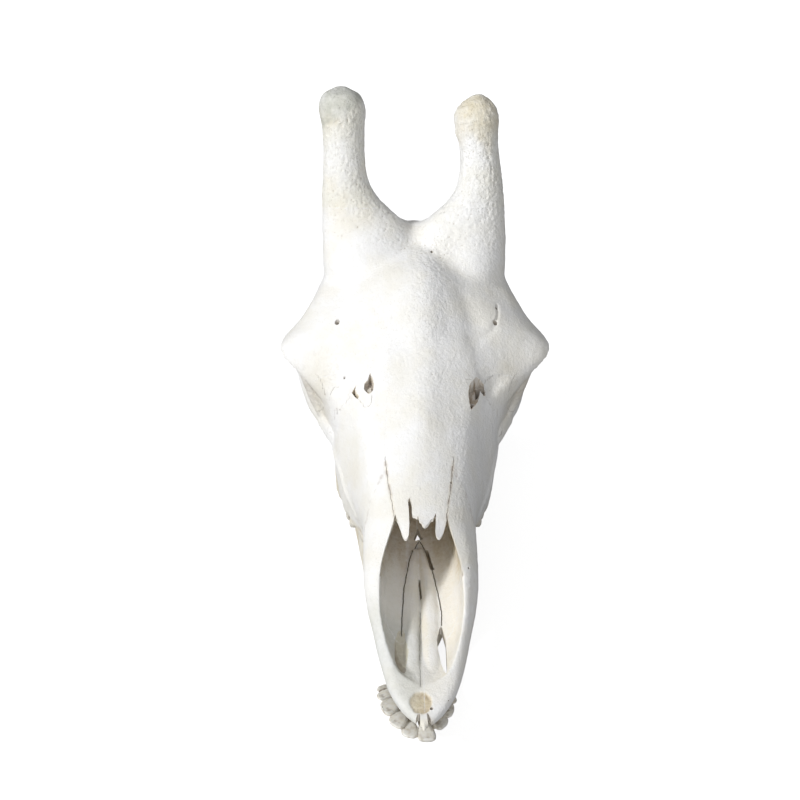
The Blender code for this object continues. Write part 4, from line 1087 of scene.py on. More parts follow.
def front_tooth(shape, side, seed, cleft=0):
    """One spade-like front tooth, which turns outward to its edge; a cleft divides its edge into lobes."""
    foot, edge, (way_x, way_s), wide, thick = shape
    foot, edge = Vector(foot), Vector(edge)
    axis = edge - foot
    level = axis.cross(Vector((0, 0, 1))).normalized()
    rings = []
    for t, width, depth in FRONT_RINGS:
        turned = float(soft_ramp(0.05, 0.8, t))
        across = level.lerp(Vector((-way_x, -way_s, 0)), turned).normalized()
        up = across.cross(axis).normalized()
        crown = min(max((t - 0.2) / 0.6, 0), 1)
        ring = []
        for k in range(FRONT_SIDES):
            turn = 2 * math.pi * (k + 0.5) / FRONT_SIDES
            u, v = math.cos(turn), math.sin(turn)
            spread = squared(u, 0.8) * width * wide / 2
            height = squared(v, 0.8) * depth * thick / 2
            if v > 0:
                height *= 1 - 0.45 * crown * (1 - u * u)
            back = cleft * crown * math.exp(-((u + 0.25) / 0.16) ** 2) * axis.length * 0.2
            drop = 0.11 * crown * u * u * axis.length
            place = foot + axis * t + across * spread + up * height - axis.normalized() * (back + drop)
            ring.append((place.x * side, place.y, place.z))
        rings.append(ring)
    made = loft("front", rings)
    places = places_of(made)
    return swell(made, 0.22 * fractal(places, 2.4, 2, 300 + seed) + 0.45 * fractal(places, 8, 1, 330 + seed))


def in_jaw(obj):
    """Swings a piece of the lower jaw to where the jaw lies, its chin slipped to the skull's right."""
    hinge = Matrix.Translation(bone_point((0, JAW_HINGE_S, 0)))
    swing = Matrix.Rotation(math.atan2(-JAW_SLIP, JAW_HINGE_S), 4, "Z")
    obj.data.transform(hinge @ swing @ hinge.inverted())
    return obj


BROW_SHEET_X = 140


def brow_seam_rows():
    """Rows of the wavy sheet between the face and the brow, from side to side."""
    shift = rail(BROW_SEAM)
    count = 150
    rows = []
    for i in range(count + 1):
        x = BROW_SHEET_X * (2 * i / count - 1)
        cell = np.array([[i, 7, 3]])
        stray = (2 * dice(cell, 77)[0] - 1) * 1.5 * float(ramp(100, 80, abs(x)) * ramp(0.5, 3, abs(x)))
        row = []
        for s, h in MAXILLA_SEAM[:4]:
            row.append((x, s + (shift(abs(x))[0] + stray) * float(ramp(88, 118, h)), h))
        rows.append(row)
    return rows


def middle_rows():
    """Rows of the sheet along the midline of the face."""
    levels = np.linspace(210, -20, 60)
    ends = np.interp(-levels, [-h for _, h in MAXILLA_SEAM], [s for s, _ in MAXILLA_SEAM])
    ends += BROW_SEAM[0][1] * ramp(88, 118, levels)
    rows = []
    for i, s in enumerate(np.arange(-20, 417, 2.2)):
        x = (2 * dice(np.array([[i, 5, 9]]), 79)[0] - 1) * 0.7 if 150 < s < 400 else 0
        top = SEAM_TOP if s <= ends[0] else float(np.interp(s - 0.8, ends, levels))
        rows.append([(x, s, -40), (x, s, (top - 40) / 2), (x, s, top)])
    return rows


def horn_blade(side_name):
    """The thin disc that parts a horn from the brow."""
    marks = (HORN_CUT - KNITTED / 2, HORN_CUT + KNITTED / 2)
    return loft("horn_cut", [horn_ring(side_name, m, HORN_DISC, HORN_DISC) for m in marks])


def bone_seams():
    """Sheets along every seam at which the upper skull comes apart."""
    sheets = [blade("middle", middle_rows(), KNITTED), blade("brow_seam", brow_seam_rows(), KNITTED)]
    under = rail(NASAL_UNDER)
    slope = [(s, under(s)[0]) for s in np.linspace(NASAL_UNDER[0][0], NASAL_UNDER[-1][0], 24)]
    low, high = (lambda s: under(s)[0] - 3), (lambda s: SEAM_TOP)
    nasal_x, front_x, cheek_x = SEAM_REACH.values()
    past_middle, outside_nose = PREMAXILLA_INNER
    sheets.append(side_blade("nasal_under", slope, -nasal_x, nasal_x))
    sheets.append(side_blade("maxilla_low", [MAXILLA_LOW, *MAXILLA_SEAM[3:]], -CHEEK_SEAM_X, CHEEK_SEAM_X))
    for name, side in SIDES.items():
        inner = CHEEK_SEAM_X * side
        nasal = wander(NASAL_SEAM, 2.4, 0.5, 83 + side) * (side, 1)
        open_part, knit_part = nasal[nasal[:, 1] < NASAL_KNIT[1]], nasal[nasal[:, 1] > NASAL_KNIT[0]]
        front = wander(PREMAXILLA_SEAM, 2.4, 0.6, 85 + side)
        floor_part = front[front[:, 0] < PREMAXILLA_TURN[1]]
        side_part = front[front[:, 0] > PREMAXILLA_TURN[0]]
        round_cheek = wander(CHEEK_SEAM, 3, 0.5, 87 + side)
        sheets += [
            blade("nasal_seam", [[(x, s, h(s)) for x, s in open_part] for h in (low, high)], NASAL_GAP),
            blade("nasal_knit", [[(x, s, h(s)) for x, s in knit_part] for h in (low, high)], KNITTED),
            side_blade("premaxilla_floor", floor_part, -past_middle * side, front_x * side),
            side_blade("premaxilla_side", side_part, outside_nose * side, front_x * side),
            side_blade("cheek_round", round_cheek, inner, cheek_x * side),
            side_blade("cheek_back", CHEEK_SEAM_BACK, inner, cheek_x * side),
            prism("cheek_in", round_cheek, "x", inner - SEAM / 2, inner + SEAM / 2),
            horn_blade(name),
        ]
    return sheets


def sharp_cuts():
    """Cutters with sharp edges: palate, nasal points, openings, holes and sockets of the teeth."""
    cutters = [
        prism("nose_edge", NOSE_EDGE, "h", *NOSE_EDGE_REACH),
        prism("palate_gap", PALATE_GAP, "h", *PALATE_GAP_REACH),
    ]
    cutters += [prism("tip_notch", outline, "h", *TIP_NOTCH_REACH) for outline in TIP_NOTCHES]
    for name, side in SIDES.items():
        outline = [(inner * side, s) for s, inner, _ in PALATE_SLITS[name]]
        outline += [(outer * side, s) for s, _, outer in reversed(PALATE_SLITS[name])]
        cutters.append(prism("slit", outline, "h", PALATE_SLIT_LOW[name], SLIT_TOP))
        cutters += [drill("hole", *hole, side) for hole in HOLES]
        cutters += row_sockets(UPPER_TEETH, UPPER_GUM, 1, side)
    cutters += [drill("hole", *hole) for hole in ODD_HOLES]
    cutters += [prism("tear_hole", outline, "h", low, TEAR_HOLE_TOP) for outline, low in TEAR_HOLES]
    return cutters


def split(obj):
    """The loose parts of obj as objects, largest first."""
    bpy.ops.object.select_all(action="DESELECT")
    obj.select_set(True)
    bpy.context.view_layer.objects.active = obj
    bpy.ops.object.mode_set(mode="EDIT")
    bpy.ops.mesh.separate(type="LOOSE")
    bpy.ops.object.mode_set(mode="OBJECT")
    parts = list(bpy.context.selected_objects)
    return sorted(parts, key=lambda part: -len(part.data.vertices))


def pick(parts, place):
    """The part whose surface comes nearest to a place, taken off the list."""
    target = np.array(place, float)
    chosen = min(parts, key=lambda part: np.min(np.linalg.norm(places_of(part) - target, axis=1)))
    parts.remove(chosen)
    return chosen


# A place on each bone of the upper skull, by which its piece is known
BONE_PLACES = {
    "nasal": (14, 240, 110),
    "premaxilla": (47, 80, 18),
    "maxilla": (60, 300, 85),
    "cheek_bone": (108, 416, 62),
    "horn": (66, 530, 275),
}
CRANIUM_PLACE = (0, 470, 200)
SCRAP = 400  # vertices of the largest chip that the cuts leave loose

# Lines scored from above or on the nose's floor: paths, view, width, depth, straying and seed
SCORE_DEEP = 1.6
SCORED = (
    (KNIT_ABOVE, "above", 0.25, SCORE_DEEP, 0.9, 401),
    (CRACKS_ABOVE, "above", SEAM, SCORE_DEEP, 0.5, 411),
    (FLOOR_LINES.values(), "floor", 1.1, 4.5, 0.3, 441),
    ((FLOOR_LINE_WIDE,), "floor", 3.8, 7, 0.3, 451),
    ((FLOOR_PIT,), "floor", 2, 7, 0.2, 461),
    ((FLOOR_MIDDLE,), "floor", 0.45, 1.5, 0.3, 471),
)
# Lines scored in both sides: paths, straying and seed
SCORED_SIDES = ((KNIT_SIDE, 0.9, 421), (CRACKS_SIDE, 0.7, 431))


def upper_bones():
    """The bones of the upper skull as separate pieces, by node, and the tree of all their faces."""
    skull = sculpt(skull_skin(), skull_relief)
    carve(skull, sharp_cuts())
    mesh = skull.data
    tree = BVHTree.FromPolygons([v.co for v in mesh.vertices], [p.vertices for p in mesh.polygons])
    lines = []
    for paths, view, width, deep, stray, seed in SCORED:
        lines += scores(tree, paths, view, 1, width, deep, stray, seed)
    for side in SIDES.values():
        for paths, stray, seed in SCORED_SIDES:
            lines += scores(tree, paths, "side", side, SEAM, SCORE_DEEP, stray, seed + side)
    carve(skull, lines)
    carve(skull, bone_seams())
    parts = split(skull)
    for scrap in [part for part in parts if len(part.data.vertices) <= SCRAP]:
        parts.remove(scrap)
        bpy.data.objects.remove(scrap)
    found = {}
    for part, (x, s, h) in BONE_PLACES.items():
        for name, side in SIDES.items():
            found[f"{part}_{name}"] = pick(parts, (x * side, s, h))
    found["cranium"] = pick(parts, CRANIUM_PLACE)
    for extra in parts:
        bpy.data.objects.remove(extra)
    return found, tree


# Outline (s, h) of what is cut off each half of the jaw past the midline
JAW_MIDDLE = ((-60, -140), (-60, 60), (300, 60), (300, -140))
JAW_MIDDLE_X = 60


def lower_bones():
    """The two halves of the lower jaw."""
    found = {}
    for name, side in SIDES.items():
        pieces = [
            bar("body", JAW_BODY, side),
            bar("blade", JAW_BLADE, side),
            bar("rise", JAW_RISE, side),
            bar("neck", CONDYLE_NECK, side),
            ball("condyle", JAW_CONDYLE[:3], JAW_CONDYLE[3:], -8, side),
        ]
        half = remesh(join_loose("jaw_" + name, pieces), BONE_GRAIN, JAW_SOFTENING)
        sculpt(half, jaw_relief)
        cutters = [prism("middle", JAW_MIDDLE, "x", *sorted((-JAW_MIDDLE_X * side, SEAM / 2 * side)))]
        cutters += [drill("hole", *hole, side) for hole in JAW_HOLES]
        cutters += row_sockets(LOWER_TEETH, LOWER_GUM, -1, side)
        cutters += [front_tooth(shape, side, 0) for shape in FRONT_TEETH[name]]
        found["jaw_" + name] = carve(half, cutters)
    return found


def main_shapes():
    """Every bone, every row of teeth, and the tree of the upper skull's faces, in the skull's own frame."""
    bones, tree = upper_bones()
    bones.update(lower_bones())
    teeth = {}
    for i, (name, side) in enumerate(SIDES.items()):
        upper, lower, front = (f"{row}_teeth_{name}" for row in ("upper", "lower", "front"))
        teeth[upper] = tooth_row(upper, UPPER_TEETH, UPPER_GUM, UPPER_CROWN, side, 10 * i)
        teeth[lower] = tooth_row(lower, LOWER_TEETH, LOWER_GUM, -LOWER_CROWN, side, 50 + 10 * i)
        row = []
        for k, shape in enumerate(FRONT_TEETH[name]):
            row.append(front_tooth(shape, side, 10 * i + k, int(k == CLEFT_TOOTH)))
        teeth[front] = join_loose(front, row)
    return bones, teeth, tree


def inside(flat, outline):
    """Whether each point (x, s) lies in an outline."""
    x, s = flat.T
    found = np.zeros(len(flat), bool)
    for (x0, s0), (x1, s1) in zip(outline, outline[1:] + outline[:1]):
        crosses = (s0 > s) != (s1 > s)
        found ^= crosses & (x < x0 + (s - s0) * (x1 - x0) / (s1 - s0 + 1e-9))
    return found


def covered(tree, places, normals, chosen):
    """How far each chosen place lies under the bone above, from 0 in the open to 1, and 0 for the rest."""
    over = np.zeros(len(places))
    rows = np.flatnonzero(chosen)
    sway = 0.16 * bumps(places[rows] / 3, 591)
    for i, turn in zip(rows, sway):
        start = bone_point(places[i] + 0.6 * normals[i])
        for k in range(6):
            lean = 0.22 * k + turn
            if tree.ray_cast(start, Vector((0, -math.sin(lean), math.cos(lean))))[0] is None:
                break
            over[i] += 1 / 6
    return over


TEAR_BOX = ((36, 306, 90), (72, 350, 190))  # corners (x, s, h) of the space that holds those of one side


def in_tear_holes(places, normals):
    """1 on the walls and floors of the openings in front of the eyes, and 0 elsewhere."""
    mirrored = places * np.where(places[:, :1] < 0, (-1, 1, 1), (1, 1, 1))
    near = np.all((mirrored > TEAR_BOX[0]) & (mirrored < TEAR_BOX[1]), axis=1)
    flat, level = places[near, :2], normals[near, 2] < 0.5
    found = np.zeros(len(places))
    for outline, _ in TEAR_HOLES:
        edge = path_distance(flat, (*outline, outline[0])) < 0.35
        found[near] = np.maximum(found[near], inside(flat, outline) | (edge & level))
    return found


def flecks(places, size, seed):
    """Noise from 0 to 1 that stains are broken up with."""
    return np.clip(0.5 + 0.6 * fractal(places, size, 3, seed), 0, 1)


def tones(stain, grey, brown, rough):
    """The four tones of each vertex in one row, from 0 to 1."""
    return np.clip(np.column_stack(np.broadcast_arrays(stain, grey, brown, rough)), 0, 1)


# Marks of their own, as (x, s, h) or (x, s), and the radii: painted shade round the eye socket, and a stain
# in front of it
EYE_SHADE = ((98, 392, 102), (24, 28, 22))
EYE_FRONT = ((90, 358), (12, 14))


def skull_tone(places, normals, tree):
    """Yellow stain, greyness, brown and roughness of the upper skull at each place, from 0 to 1, with painted
    shade under the nasal bones, round the eye sockets and in the openings in front of them.
    """
    x, s, h = places.T
    wide, inward = np.abs(x), -normals[:, 0] * np.sign(x)
    looks_up = normals[:, 2]
    cloud = 0.5 + 0.5 * fractal(places, 34, 3, 501)
    fleck = flecks(places, 5, 511)
    on_horn = horn_weight(places)
    left_cap, right_cap = horn_cap(places)
    # The hollow under the nasal bones, painted in shade and brown as far as bone covers it from above; the
    # walls and floor of the nose in front of it, and the blind slit
    hollow = soft_ramp(345, 330, s) * soft_ramp(4, 9, h)
    hollow *= covered(tree, places, normals, (s > 160) & (hollow > 0) & (wide < 44) & (h < 150)) ** 1.6
    hollow *= np.maximum(soft_ramp(-0.3, 0.1, inward), soft_ramp(0.2, 0.5, looks_up))
    wall = soft_ramp(0.1, 0.5, inward) * band(30, 60, 300, 330, s) * soft_ramp(46, 41, wide)
    left_wall, right_wall = wall * (x > 0), wall * (x < 0)
    floor = soft_ramp(20, 30, s) * soft_ramp(20, 15, h - 0.02 * s) * soft_ramp(0.3, 0.7, looks_up)
    blind = inside(places[:, :2], RIGHT_SLIT) * soft_ramp(14.5, 13, h)
    tip = tip_patch(places) * soft_ramp(0.1, 0.5, looks_up)
    # Seams, and what lies round the teeth, the eyes and underneath, with painted shade round the eye sockets
    # and deep in the openings in front of them
    seam = near_path(np.column_stack([wide, s]), NASAL_SEAM[:5], 1.2) * soft_ramp(60, 80, h)
    side_seam = near_path(places[:, 1:], PREMAXILLA_SEAM, 1.1) * soft_ramp(30, 36, wide)
    side_seam *= soft_ramp(195, 215, s)
    middle_line = near_path(places[:, :2], FLOOR_MIDDLE, 1.7) * floor
    gum = soft_ramp(16, 0, h) * band(222, 232, 378, 388, s)
    under = soft_ramp(-0.2, -0.7, looks_up)
    # Painted shade round the eye socket, in stain, grey and brown
    eye = blob((wide, s, h), *EYE_SHADE)
    front_of_eye = blob((wide, s), *EYE_FRONT) * soft_ramp(60, 80, h)
    tear = in_tear_holes(places, normals)
    # Painted shade, darker lower down, in the openings in front of the eye on the skull's left
    tear_shade = tear * (x > 0) * (0.35 + 0.5 * soft_ramp(142, 122, h))

    stain = 0.1 * soft_ramp(0.5, 0.9, cloud) + 0.45 * left_cap * (0.3 + 0.7 * fleck) + 0.3 * right_cap * fleck
    stain += 0.2 * on_horn * soft_ramp(0.55, 0.9, cloud) + 0.28 * left_wall
    stain += 0.2 * right_wall * soft_ramp(120, 60, s) + 0.22 * front_of_eye + 0.3 * gum + 0.45 * eye + tip
    stain += 0.35 * soft_ramp(13, 9, s) + 0.25 * under + 0.1 * floor + 0.4 * seam + 0.8 * hollow + 0.6 * tear
    stain += 0.7 * blind
    grey = 0.75 * right_cap * (0.6 + 0.4 * fleck) + 0.2 * right_wall * soft_ramp(60, 120, s) + 0.6 * eye
    grey += 0.1 * on_horn * fleck + 0.1 * front_of_eye + 0.4 * middle_line
    # Painted shade: greyer towards the front on the skull's right side
    grey += 0.45 * soft_ramp(150, 110, s) * soft_ramp(6, -14, x)
    brown = 0.4 * hollow + 0.4 * tip * (0.3 + fleck) + 0.12 * tear + tear_shade + 0.15 * middle_line
    brown += (0.6 * seam + 0.4 * side_seam) * soft_ramp(0.3, 0.7, fleck) + 0.5 * eye
    brown += 0.2 * gum * soft_ramp(0.5, 0.8, fleck) + 0.25 * floor * soft_ramp(195, 240, s)
    middle = blob((x,), (10,), (17,)) * band(300, 395, 462, 490, s) * soft_ramp(150, 180, h)
    rough = 0.3 + 0.6 * on_horn + 0.5 * middle + 0.5 * soft_ramp(560, 580, s) + 0.3 * under + left_cap
    return tones(stain, grey, brown, rough)


def jaw_tone(places):
    """Yellow stain, greyness, brown and roughness of the lower jaw at each place, from 0 to 1."""
    _, s, h = places.T
    cloud = 0.5 + 0.5 * fractal(places, 30, 3, 521)
    fleck = flecks(places, 5, 531)
    gum = soft_ramp(-44, -32, h) * band(222, 232, 378, 388, s)
    chin = soft_ramp(84, 66, s)
    stain = 0.2 + 0.35 * soft_ramp(0.45, 0.9, cloud) + 0.3 * gum + 0.4 * chin
    grey = 0.1 * cloud + 0.25 * chin * fleck
    brown = 0.3 * gum * fleck + 0.25 * chin * soft_ramp(0.4, 0.8, fleck) + 0.12 * soft_ramp(0.55, 0.8, cloud)
    return tones(stain, grey, brown, 0.2 + 0.6 * chin + 0.3 * soft_ramp(-70, -95, h))


def tooth_tone(places, row):
    """Yellow stain, greyness, brown and roughness of a row of cheek teeth."""
    rise = UPPER_GUM - places[:, 2] if row == "upper_teeth" else places[:, 2] - LOWER_GUM
    fleck = flecks(places * (1, 1, 0.5), 3.5, 541)
    stain = 0.35 + 0.5 * soft_ramp(6, 0, rise) * fleck + 0.3 * soft_ramp(0.5, 0.9, fleck)
    brown = 0.7 * soft_ramp(3, -1, rise) + 0.25 * soft_ramp(0.6, 0.9, fleck) * soft_ramp(9, 3, rise)
    return tones(stain, 0.15 + 0.2 * fleck, brown, 0.1)


def front_tone(places):
    """The same for the front teeth, greyer towards the skull's left as painted shade, with tartar at the gum.
    """
    x, _, h = places.T
    fleck = flecks(places, 3, 551)
    foot = soft_ramp(-13, -20, h)
    stain = 0.05 + 0.5 * foot + 0.25 * soft_ramp(0.5, 0.9, fleck)
    # Painted shade: greyer towards the skull's left
    grey = 0.05 + 0.3 * soft_ramp(-10, 25, x) * fleck
    brown = 0.45 * foot + 0.2 * soft_ramp(0.6, 0.9, fleck)
    return tones(stain, grey, brown, 0.2)


def mark(piece, tone):
    """Keeps the tones and the fine relief of each vertex, for the material to read."""
    mesh = piece.data
    colour = mesh.color_attributes.new("tone", "FLOAT_COLOR", "POINT")
    colour.data.foreach_set("color", tone.astype(np.float32).ravel())
    soften(piece, 10)
    graph = bpy.context.evaluated_depsgraph_get()
    smooth = bpy.data.meshes.new_from_object(piece.evaluated_get(graph))
    piece.modifiers.clear()
    relief = np.sum((places_of(piece) - rows_of(smooth, "co") / MM) * normals_of(piece), axis=1)
    bpy.data.meshes.remove(smooth)
    store = mesh.attributes.new("relief", "FLOAT", "POINT")
    store.data.foreach_set("value", np.clip(relief, -2, 2).astype(np.float32))


def node(tree, kind, values=(), **settings):
    """A shader node with its settings, and its inputs set or linked as values says."""
    made = tree.nodes.new("ShaderNode" + kind)
    for key, value in settings.items():
        setattr(made, key, value)
    for key, value in dict(values).items():
        if isinstance(value, bpy.types.NodeSocket):
            tree.links.new(value, made.inputs[key])
        else:
            made.inputs[key].default_value = value
    return made


def mix(tree, share, low, high, mode="MIX"):
    """The colour socket of a mix of two colours."""
    low = low if isinstance(low, bpy.types.NodeSocket) else (*low, 1)
    high = high if isinstance(high, bpy.types.NodeSocket) else (*high, 1)
    return node(tree, "Mix", {0: share, 6: low, 7: high}, data_type="RGBA", blend_type=mode).outputs[2]


def sums(tree, kind, *values):
    """The socket of a sum, product or other operation on two values."""
    return node(tree, "Math", dict(enumerate(values)), operation=kind).outputs[0]


def product(tree, first, second):
    """The socket of two values multiplied."""
    return sums(tree, "MULTIPLY", first, second)


def between(tree, value, low, high, start=0.0, end=1.0):
    """The socket of value, run from low to high over to start to end and held there."""
    return node(tree, "MapRange", {0: value, 1: low, 2: high, 3: start, 4: end}).outputs[0]


def noise(tree, where, scale, detail=3, rough=0.55):
    """The socket of a noise with about that many bumps to a metre."""
    values = {"Vector": where, "Scale": scale, "Detail": detail, "Roughness": rough}
    return node(tree, "TexNoise", values).outputs["Fac"]


# Colours, as linear light: pale and cream of each kind of bone, what stains it, and those of the teeth
BONE_COLOURS = {
    "skull_bone": ((0.92, 0.915, 0.905), (0.88, 0.86, 0.80)),
    "horn_bone": ((0.92, 0.915, 0.90), (0.87, 0.85, 0.77)),
    "jaw_bone": ((0.88, 0.86, 0.80), (0.78, 0.73, 0.60)),
}
# Stain, grey and brown also carry painted shade: in the nose under the nasal bones, round the eye sockets and
# in the openings in front of them
YELLOW_STAIN_AND_SHADE = (0.78, 0.67, 0.44)
GREY_TINT_AND_SHADE = (0.50, 0.52, 0.47)
BROWN_STAIN_AND_SHADE = (0.27, 0.17, 0.10)
# Dirt in the pores, and painted shade in small hollows and corners
DIRT_AND_SHADE = (0.40, 0.33, 0.25)
ENAMEL = ((0.93, 0.92, 0.88), (0.86, 0.82, 0.72))
TARTAR = (0.58, 0.44, 0.22)
TOOTH_GREY_AND_SHADE = (0.42, 0.42, 0.38)
GUM_STAIN = (0.13, 0.085, 0.05)
# Stain with painted shade in the teeth's grooves, and painted shade with brown in their corners
GROOVE_STAIN_AND_SHADE = (0.16, 0.11, 0.07)
CORNER_SHADE_AND_STAIN = (0.42, 0.33, 0.22)


def start_paint(name):
    """A new material, its tree, and what each piece keeps for it: place, tones, roughness and relief."""
    paint = bpy.data.materials.new(name)
    paint.use_nodes = True
    tree = paint.node_tree
    where = node(tree, "TexCoord").outputs["Object"]
    tone = node(tree, "Attribute", attribute_name="tone")
    tones = node(tree, "SeparateColor", {0: tone.outputs["Color"]}).outputs
    relief = node(tree, "Attribute", attribute_name="relief").outputs["Fac"]
    return paint, tree, where, tones, tone.outputs["Alpha"], relief


def shade_and_dirt_in_corners(tree, colour, reach, start, strength, shade_and_dirt_colour):
    """Painted shade and dirt: the colour, darker where other bone or enamel within reach shuts the surface
    off.
    """
    shut = node(tree, "AmbientOcclusion", {"Distance": reach}, samples=4).outputs["AO"]
    return mix(tree, between(tree, shut, start, 0.1, 0.0, strength), colour, shade_and_dirt_colour, "MULTIPLY")


def finish_paint(tree, colour, rough, height, strength, distance):
    """Links the colour, the roughness and the bump to the shader, which it returns."""
    shader = tree.nodes["Principled BSDF"]
    bump = node(tree, "Bump", {"Strength": strength, "Distance": distance, "Height": height})
    tree.links.new(colour, shader.inputs["Base Color"])
    tree.links.new(rough, shader.inputs["Roughness"])
    tree.links.new(bump.outputs["Normal"], shader.inputs["Normal"])
    return shader


def bone_paint(name, pale, cream):
    """Dry, weathered bone: mottled, stained by tone, darker in its pits and seams with dirt and painted
    shade, with fine pores.
    """
    paint, tree, where, tones, rough, relief = start_paint(name)
    cloud = noise(tree, where, 24, 5)
    fleck = noise(tree, where, 170, 5, 0.65)
    colour = mix(tree, between(tree, cloud, 0.42, 0.66), pale, cream)
    colour = mix(tree, between(tree, fleck, 0.52, 0.78, 0, 0.35), colour, cream)
    spreads = ((0.2, 0.7, 0.55), (0.25, 0.7, 0.6), (0.25, 0.65, 0.5))
    for tone, spread, tint in zip(tones, spreads, (YELLOW_STAIN_AND_SHADE, GREY_TINT_AND_SHADE, BROWN_STAIN_AND_SHADE)):
        colour = mix(tree, product(tree, tone, between(tree, fleck, *spread)), colour, tint)
    pores = node(tree, "TexVoronoi", {"Vector": where, "Scale": 520.0}, feature="F1").outputs["Distance"]
    pore = between(tree, pores, 0.12, 0.3, 1.0, 0.0)
    speck = product(tree, pore, product(tree, rough, between(tree, fleck, 0.45, 0.6)))
    colour = mix(tree, product(tree, speck, 0.4), colour, DIRT_AND_SHADE)
    # Painted shade and dirt in the small hollows of the relief; paler where the relief stands out
    low = between(tree, relief, -0.06, -0.5, 0.0, 0.6)
    colour = mix(tree, product(tree, low, between(tree, fleck, 0.3, 0.6, 0.4)), colour, DIRT_AND_SHADE)
    colour = mix(tree, between(tree, relief, 0.08, 0.5, 0.0, 0.5), colour, pale)
    # Painted shade and dirt in corners that other bone shuts in
    colour = shade_and_dirt_in_corners(tree, colour, 0.014, 0.75, 0.55, DIRT_AND_SHADE)
    coarse = product(tree, noise(tree, where, 400, 3, 0.6), between(tree, rough, 0, 1, 0.9, 2.4))
    fine = product(tree, noise(tree, where, 1100, 3), between(tree, rough, 0, 1, 0.35, 1.0))
    height = sums(tree, "ADD", sums(tree, "ADD", fine, coarse), product(tree, fleck, 0.9))
    height = sums(tree, "SUBTRACT", height, product(tree, speck, 1.6))
    shader = finish_paint(tree, colour, between(tree, fleck, 0.3, 0.7, 0.5, 0.66), height, 0.7, 0.0006)
    shader.inputs["Specular IOR Level"].default_value = 0.3
    return paint


def tooth_paint(name):
    """Worn enamel with fine upright lines, tartar and stain at the gum, stain and painted shade in its
    hollows, and painted shade in its corners.
    """
    paint, tree, where, tones, _, relief = start_paint(name)
    tall = node(tree, "Mapping", {"Vector": where, "Scale": (1.0, 1.0, 0.22)}).outputs[0]
    line = noise(tree, tall, 900, 4, 0.6)
    fleck = noise(tree, where, 260, 4, 0.6)
    colour = mix(tree, between(tree, fleck, 0.4, 0.7), *ENAMEL)
    colour = mix(tree, product(tree, tones[0], between(tree, line, 0.3, 0.7, 0.25, 0.9)), colour, TARTAR)
    colour = mix(tree, product(tree, tones[1], 0.8), colour, TOOTH_GREY_AND_SHADE)
    colour = mix(tree, product(tree, tones[2], between(tree, fleck, 0.3, 0.6, 0.5)), colour, GUM_STAIN)
    # Stain and painted shade in the grooves and hollows of the enamel
    colour = mix(tree, between(tree, relief, -0.03, -0.3, 0.0, 0.8), colour, GROOVE_STAIN_AND_SHADE)
    # Painted shade, brownish, in corners between teeth and bone
    colour = shade_and_dirt_in_corners(tree, colour, 0.008, 0.7, 0.5, CORNER_SHADE_AND_STAIN)
    finish_paint(tree, colour, between(tree, line, 0.3, 0.7, 0.28, 0.48), line, 0.4, 0.00025)
    return paint


def at_rest():
    """The turn and shift that stand the skull on the floor as it lies, over the origin."""
    return Matrix.Translation(bone_point(REST_SHIFT)) @ Matrix.Rotation(math.radians(REST_TILT), 4, "X")


EASE = 2.5  # millimetres within the solids' box over which the surface is eased
CLEAR = 0.02  # millimetres that it keeps inside


def keep_inside(piece):
    """Eases what reaches past the solids' box back into it, and rests what touches the floor flat on it."""
    places = places_of(piece) * MM
    ease = EASE * MM
    for axis in range(3):
        low, high = CAD_LOW[axis] + CLEAR * MM, CAD_HIGH[axis] - CLEAR * MM
        column = places[:, axis]
        over = column - (high - ease)
        column = np.where(over > 0, high - ease + ease * np.tanh(over / ease), column)
        if axis < 2:
            over = (low + ease) - column
            column = np.where(over > 0, low + ease - ease * np.tanh(over / ease), column)
        places[:, axis] = np.maximum(column, low)
    put_places(piece, places / MM)


# The bone that holds each row of teeth
TOOTH_NODES = {"upper_teeth": "maxilla", "lower_teeth": "jaw", "front_teeth": "jaw"}


def dress(piece, name, nodes, paint):
    """Names, paints and declares a finished piece."""
    piece.data.transform(at_rest())
    keep_inside(piece)
    piece.name = piece.data.name = name
    piece.data.shade_smooth()
    piece.data.set_sharp_from_angle(angle=math.radians(50))
    piece.data.materials.clear()
    piece.data.materials.append(paint)
    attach(piece, "root")
    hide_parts(*nodes)


def build():
    """Makes, paints and declares every piece."""
    paints = {slot: bone_paint(slot, *colours) for slot, colours in BONE_COLOURS.items()}
    paints["tooth"] = tooth_paint("tooth")
    bones, teeth, tree = main_shapes()
    for name, piece in bones.items():
        kind = name.partition("_")[0]
        slot = {"jaw": "jaw_bone", "horn": "horn_bone"}.get(kind, "skull_bone")
        if kind == "jaw":
            mark(piece, jaw_tone(places_of(piece)))
            in_jaw(piece)
        else:
            mark(piece, skull_tone(places_of(piece), normals_of(piece), tree))
        dress(piece, name + "_bone", (name,), paints[slot])
    for name, piece in teeth.items():
        row, _, side = name.rpartition("_")
        if row == "front_teeth":
            mark(piece, front_tone(places_of(piece)))
        else:
            mark(piece, tooth_tone(places_of(piece), row))
        if row != "upper_teeth":
            in_jaw(piece)
        dress(piece, name, (f"{TOOTH_NODES[row]}_{side}",), paints["tooth"])


# Light: the floor and its glow to the eye, the sky, and lamps (azimuth, elevation, strength, softness)
FLOOR_HALF = 30  # metres
FLOOR_GREY = (0.45, 0.45, 0.45, 1)
FLOOR_GLOW = 0.84
SKY_COLOUR = (0.95, 0.97, 1, 1)
SKY_LIGHT = 0.24
LAMPS = {"key": (-64, 34, 2.3, 8), "front": (0, 33, 0.88, 35)}


def way_to(azimuth, elevation):
    """The way to what stands at that azimuth from the skull's front and that height, in degrees."""
    across, rise = math.radians(azimuth), math.radians(elevation)
    return Vector((math.sin(across) * math.cos(rise), -math.cos(across) * math.cos(rise), math.sin(rise)))


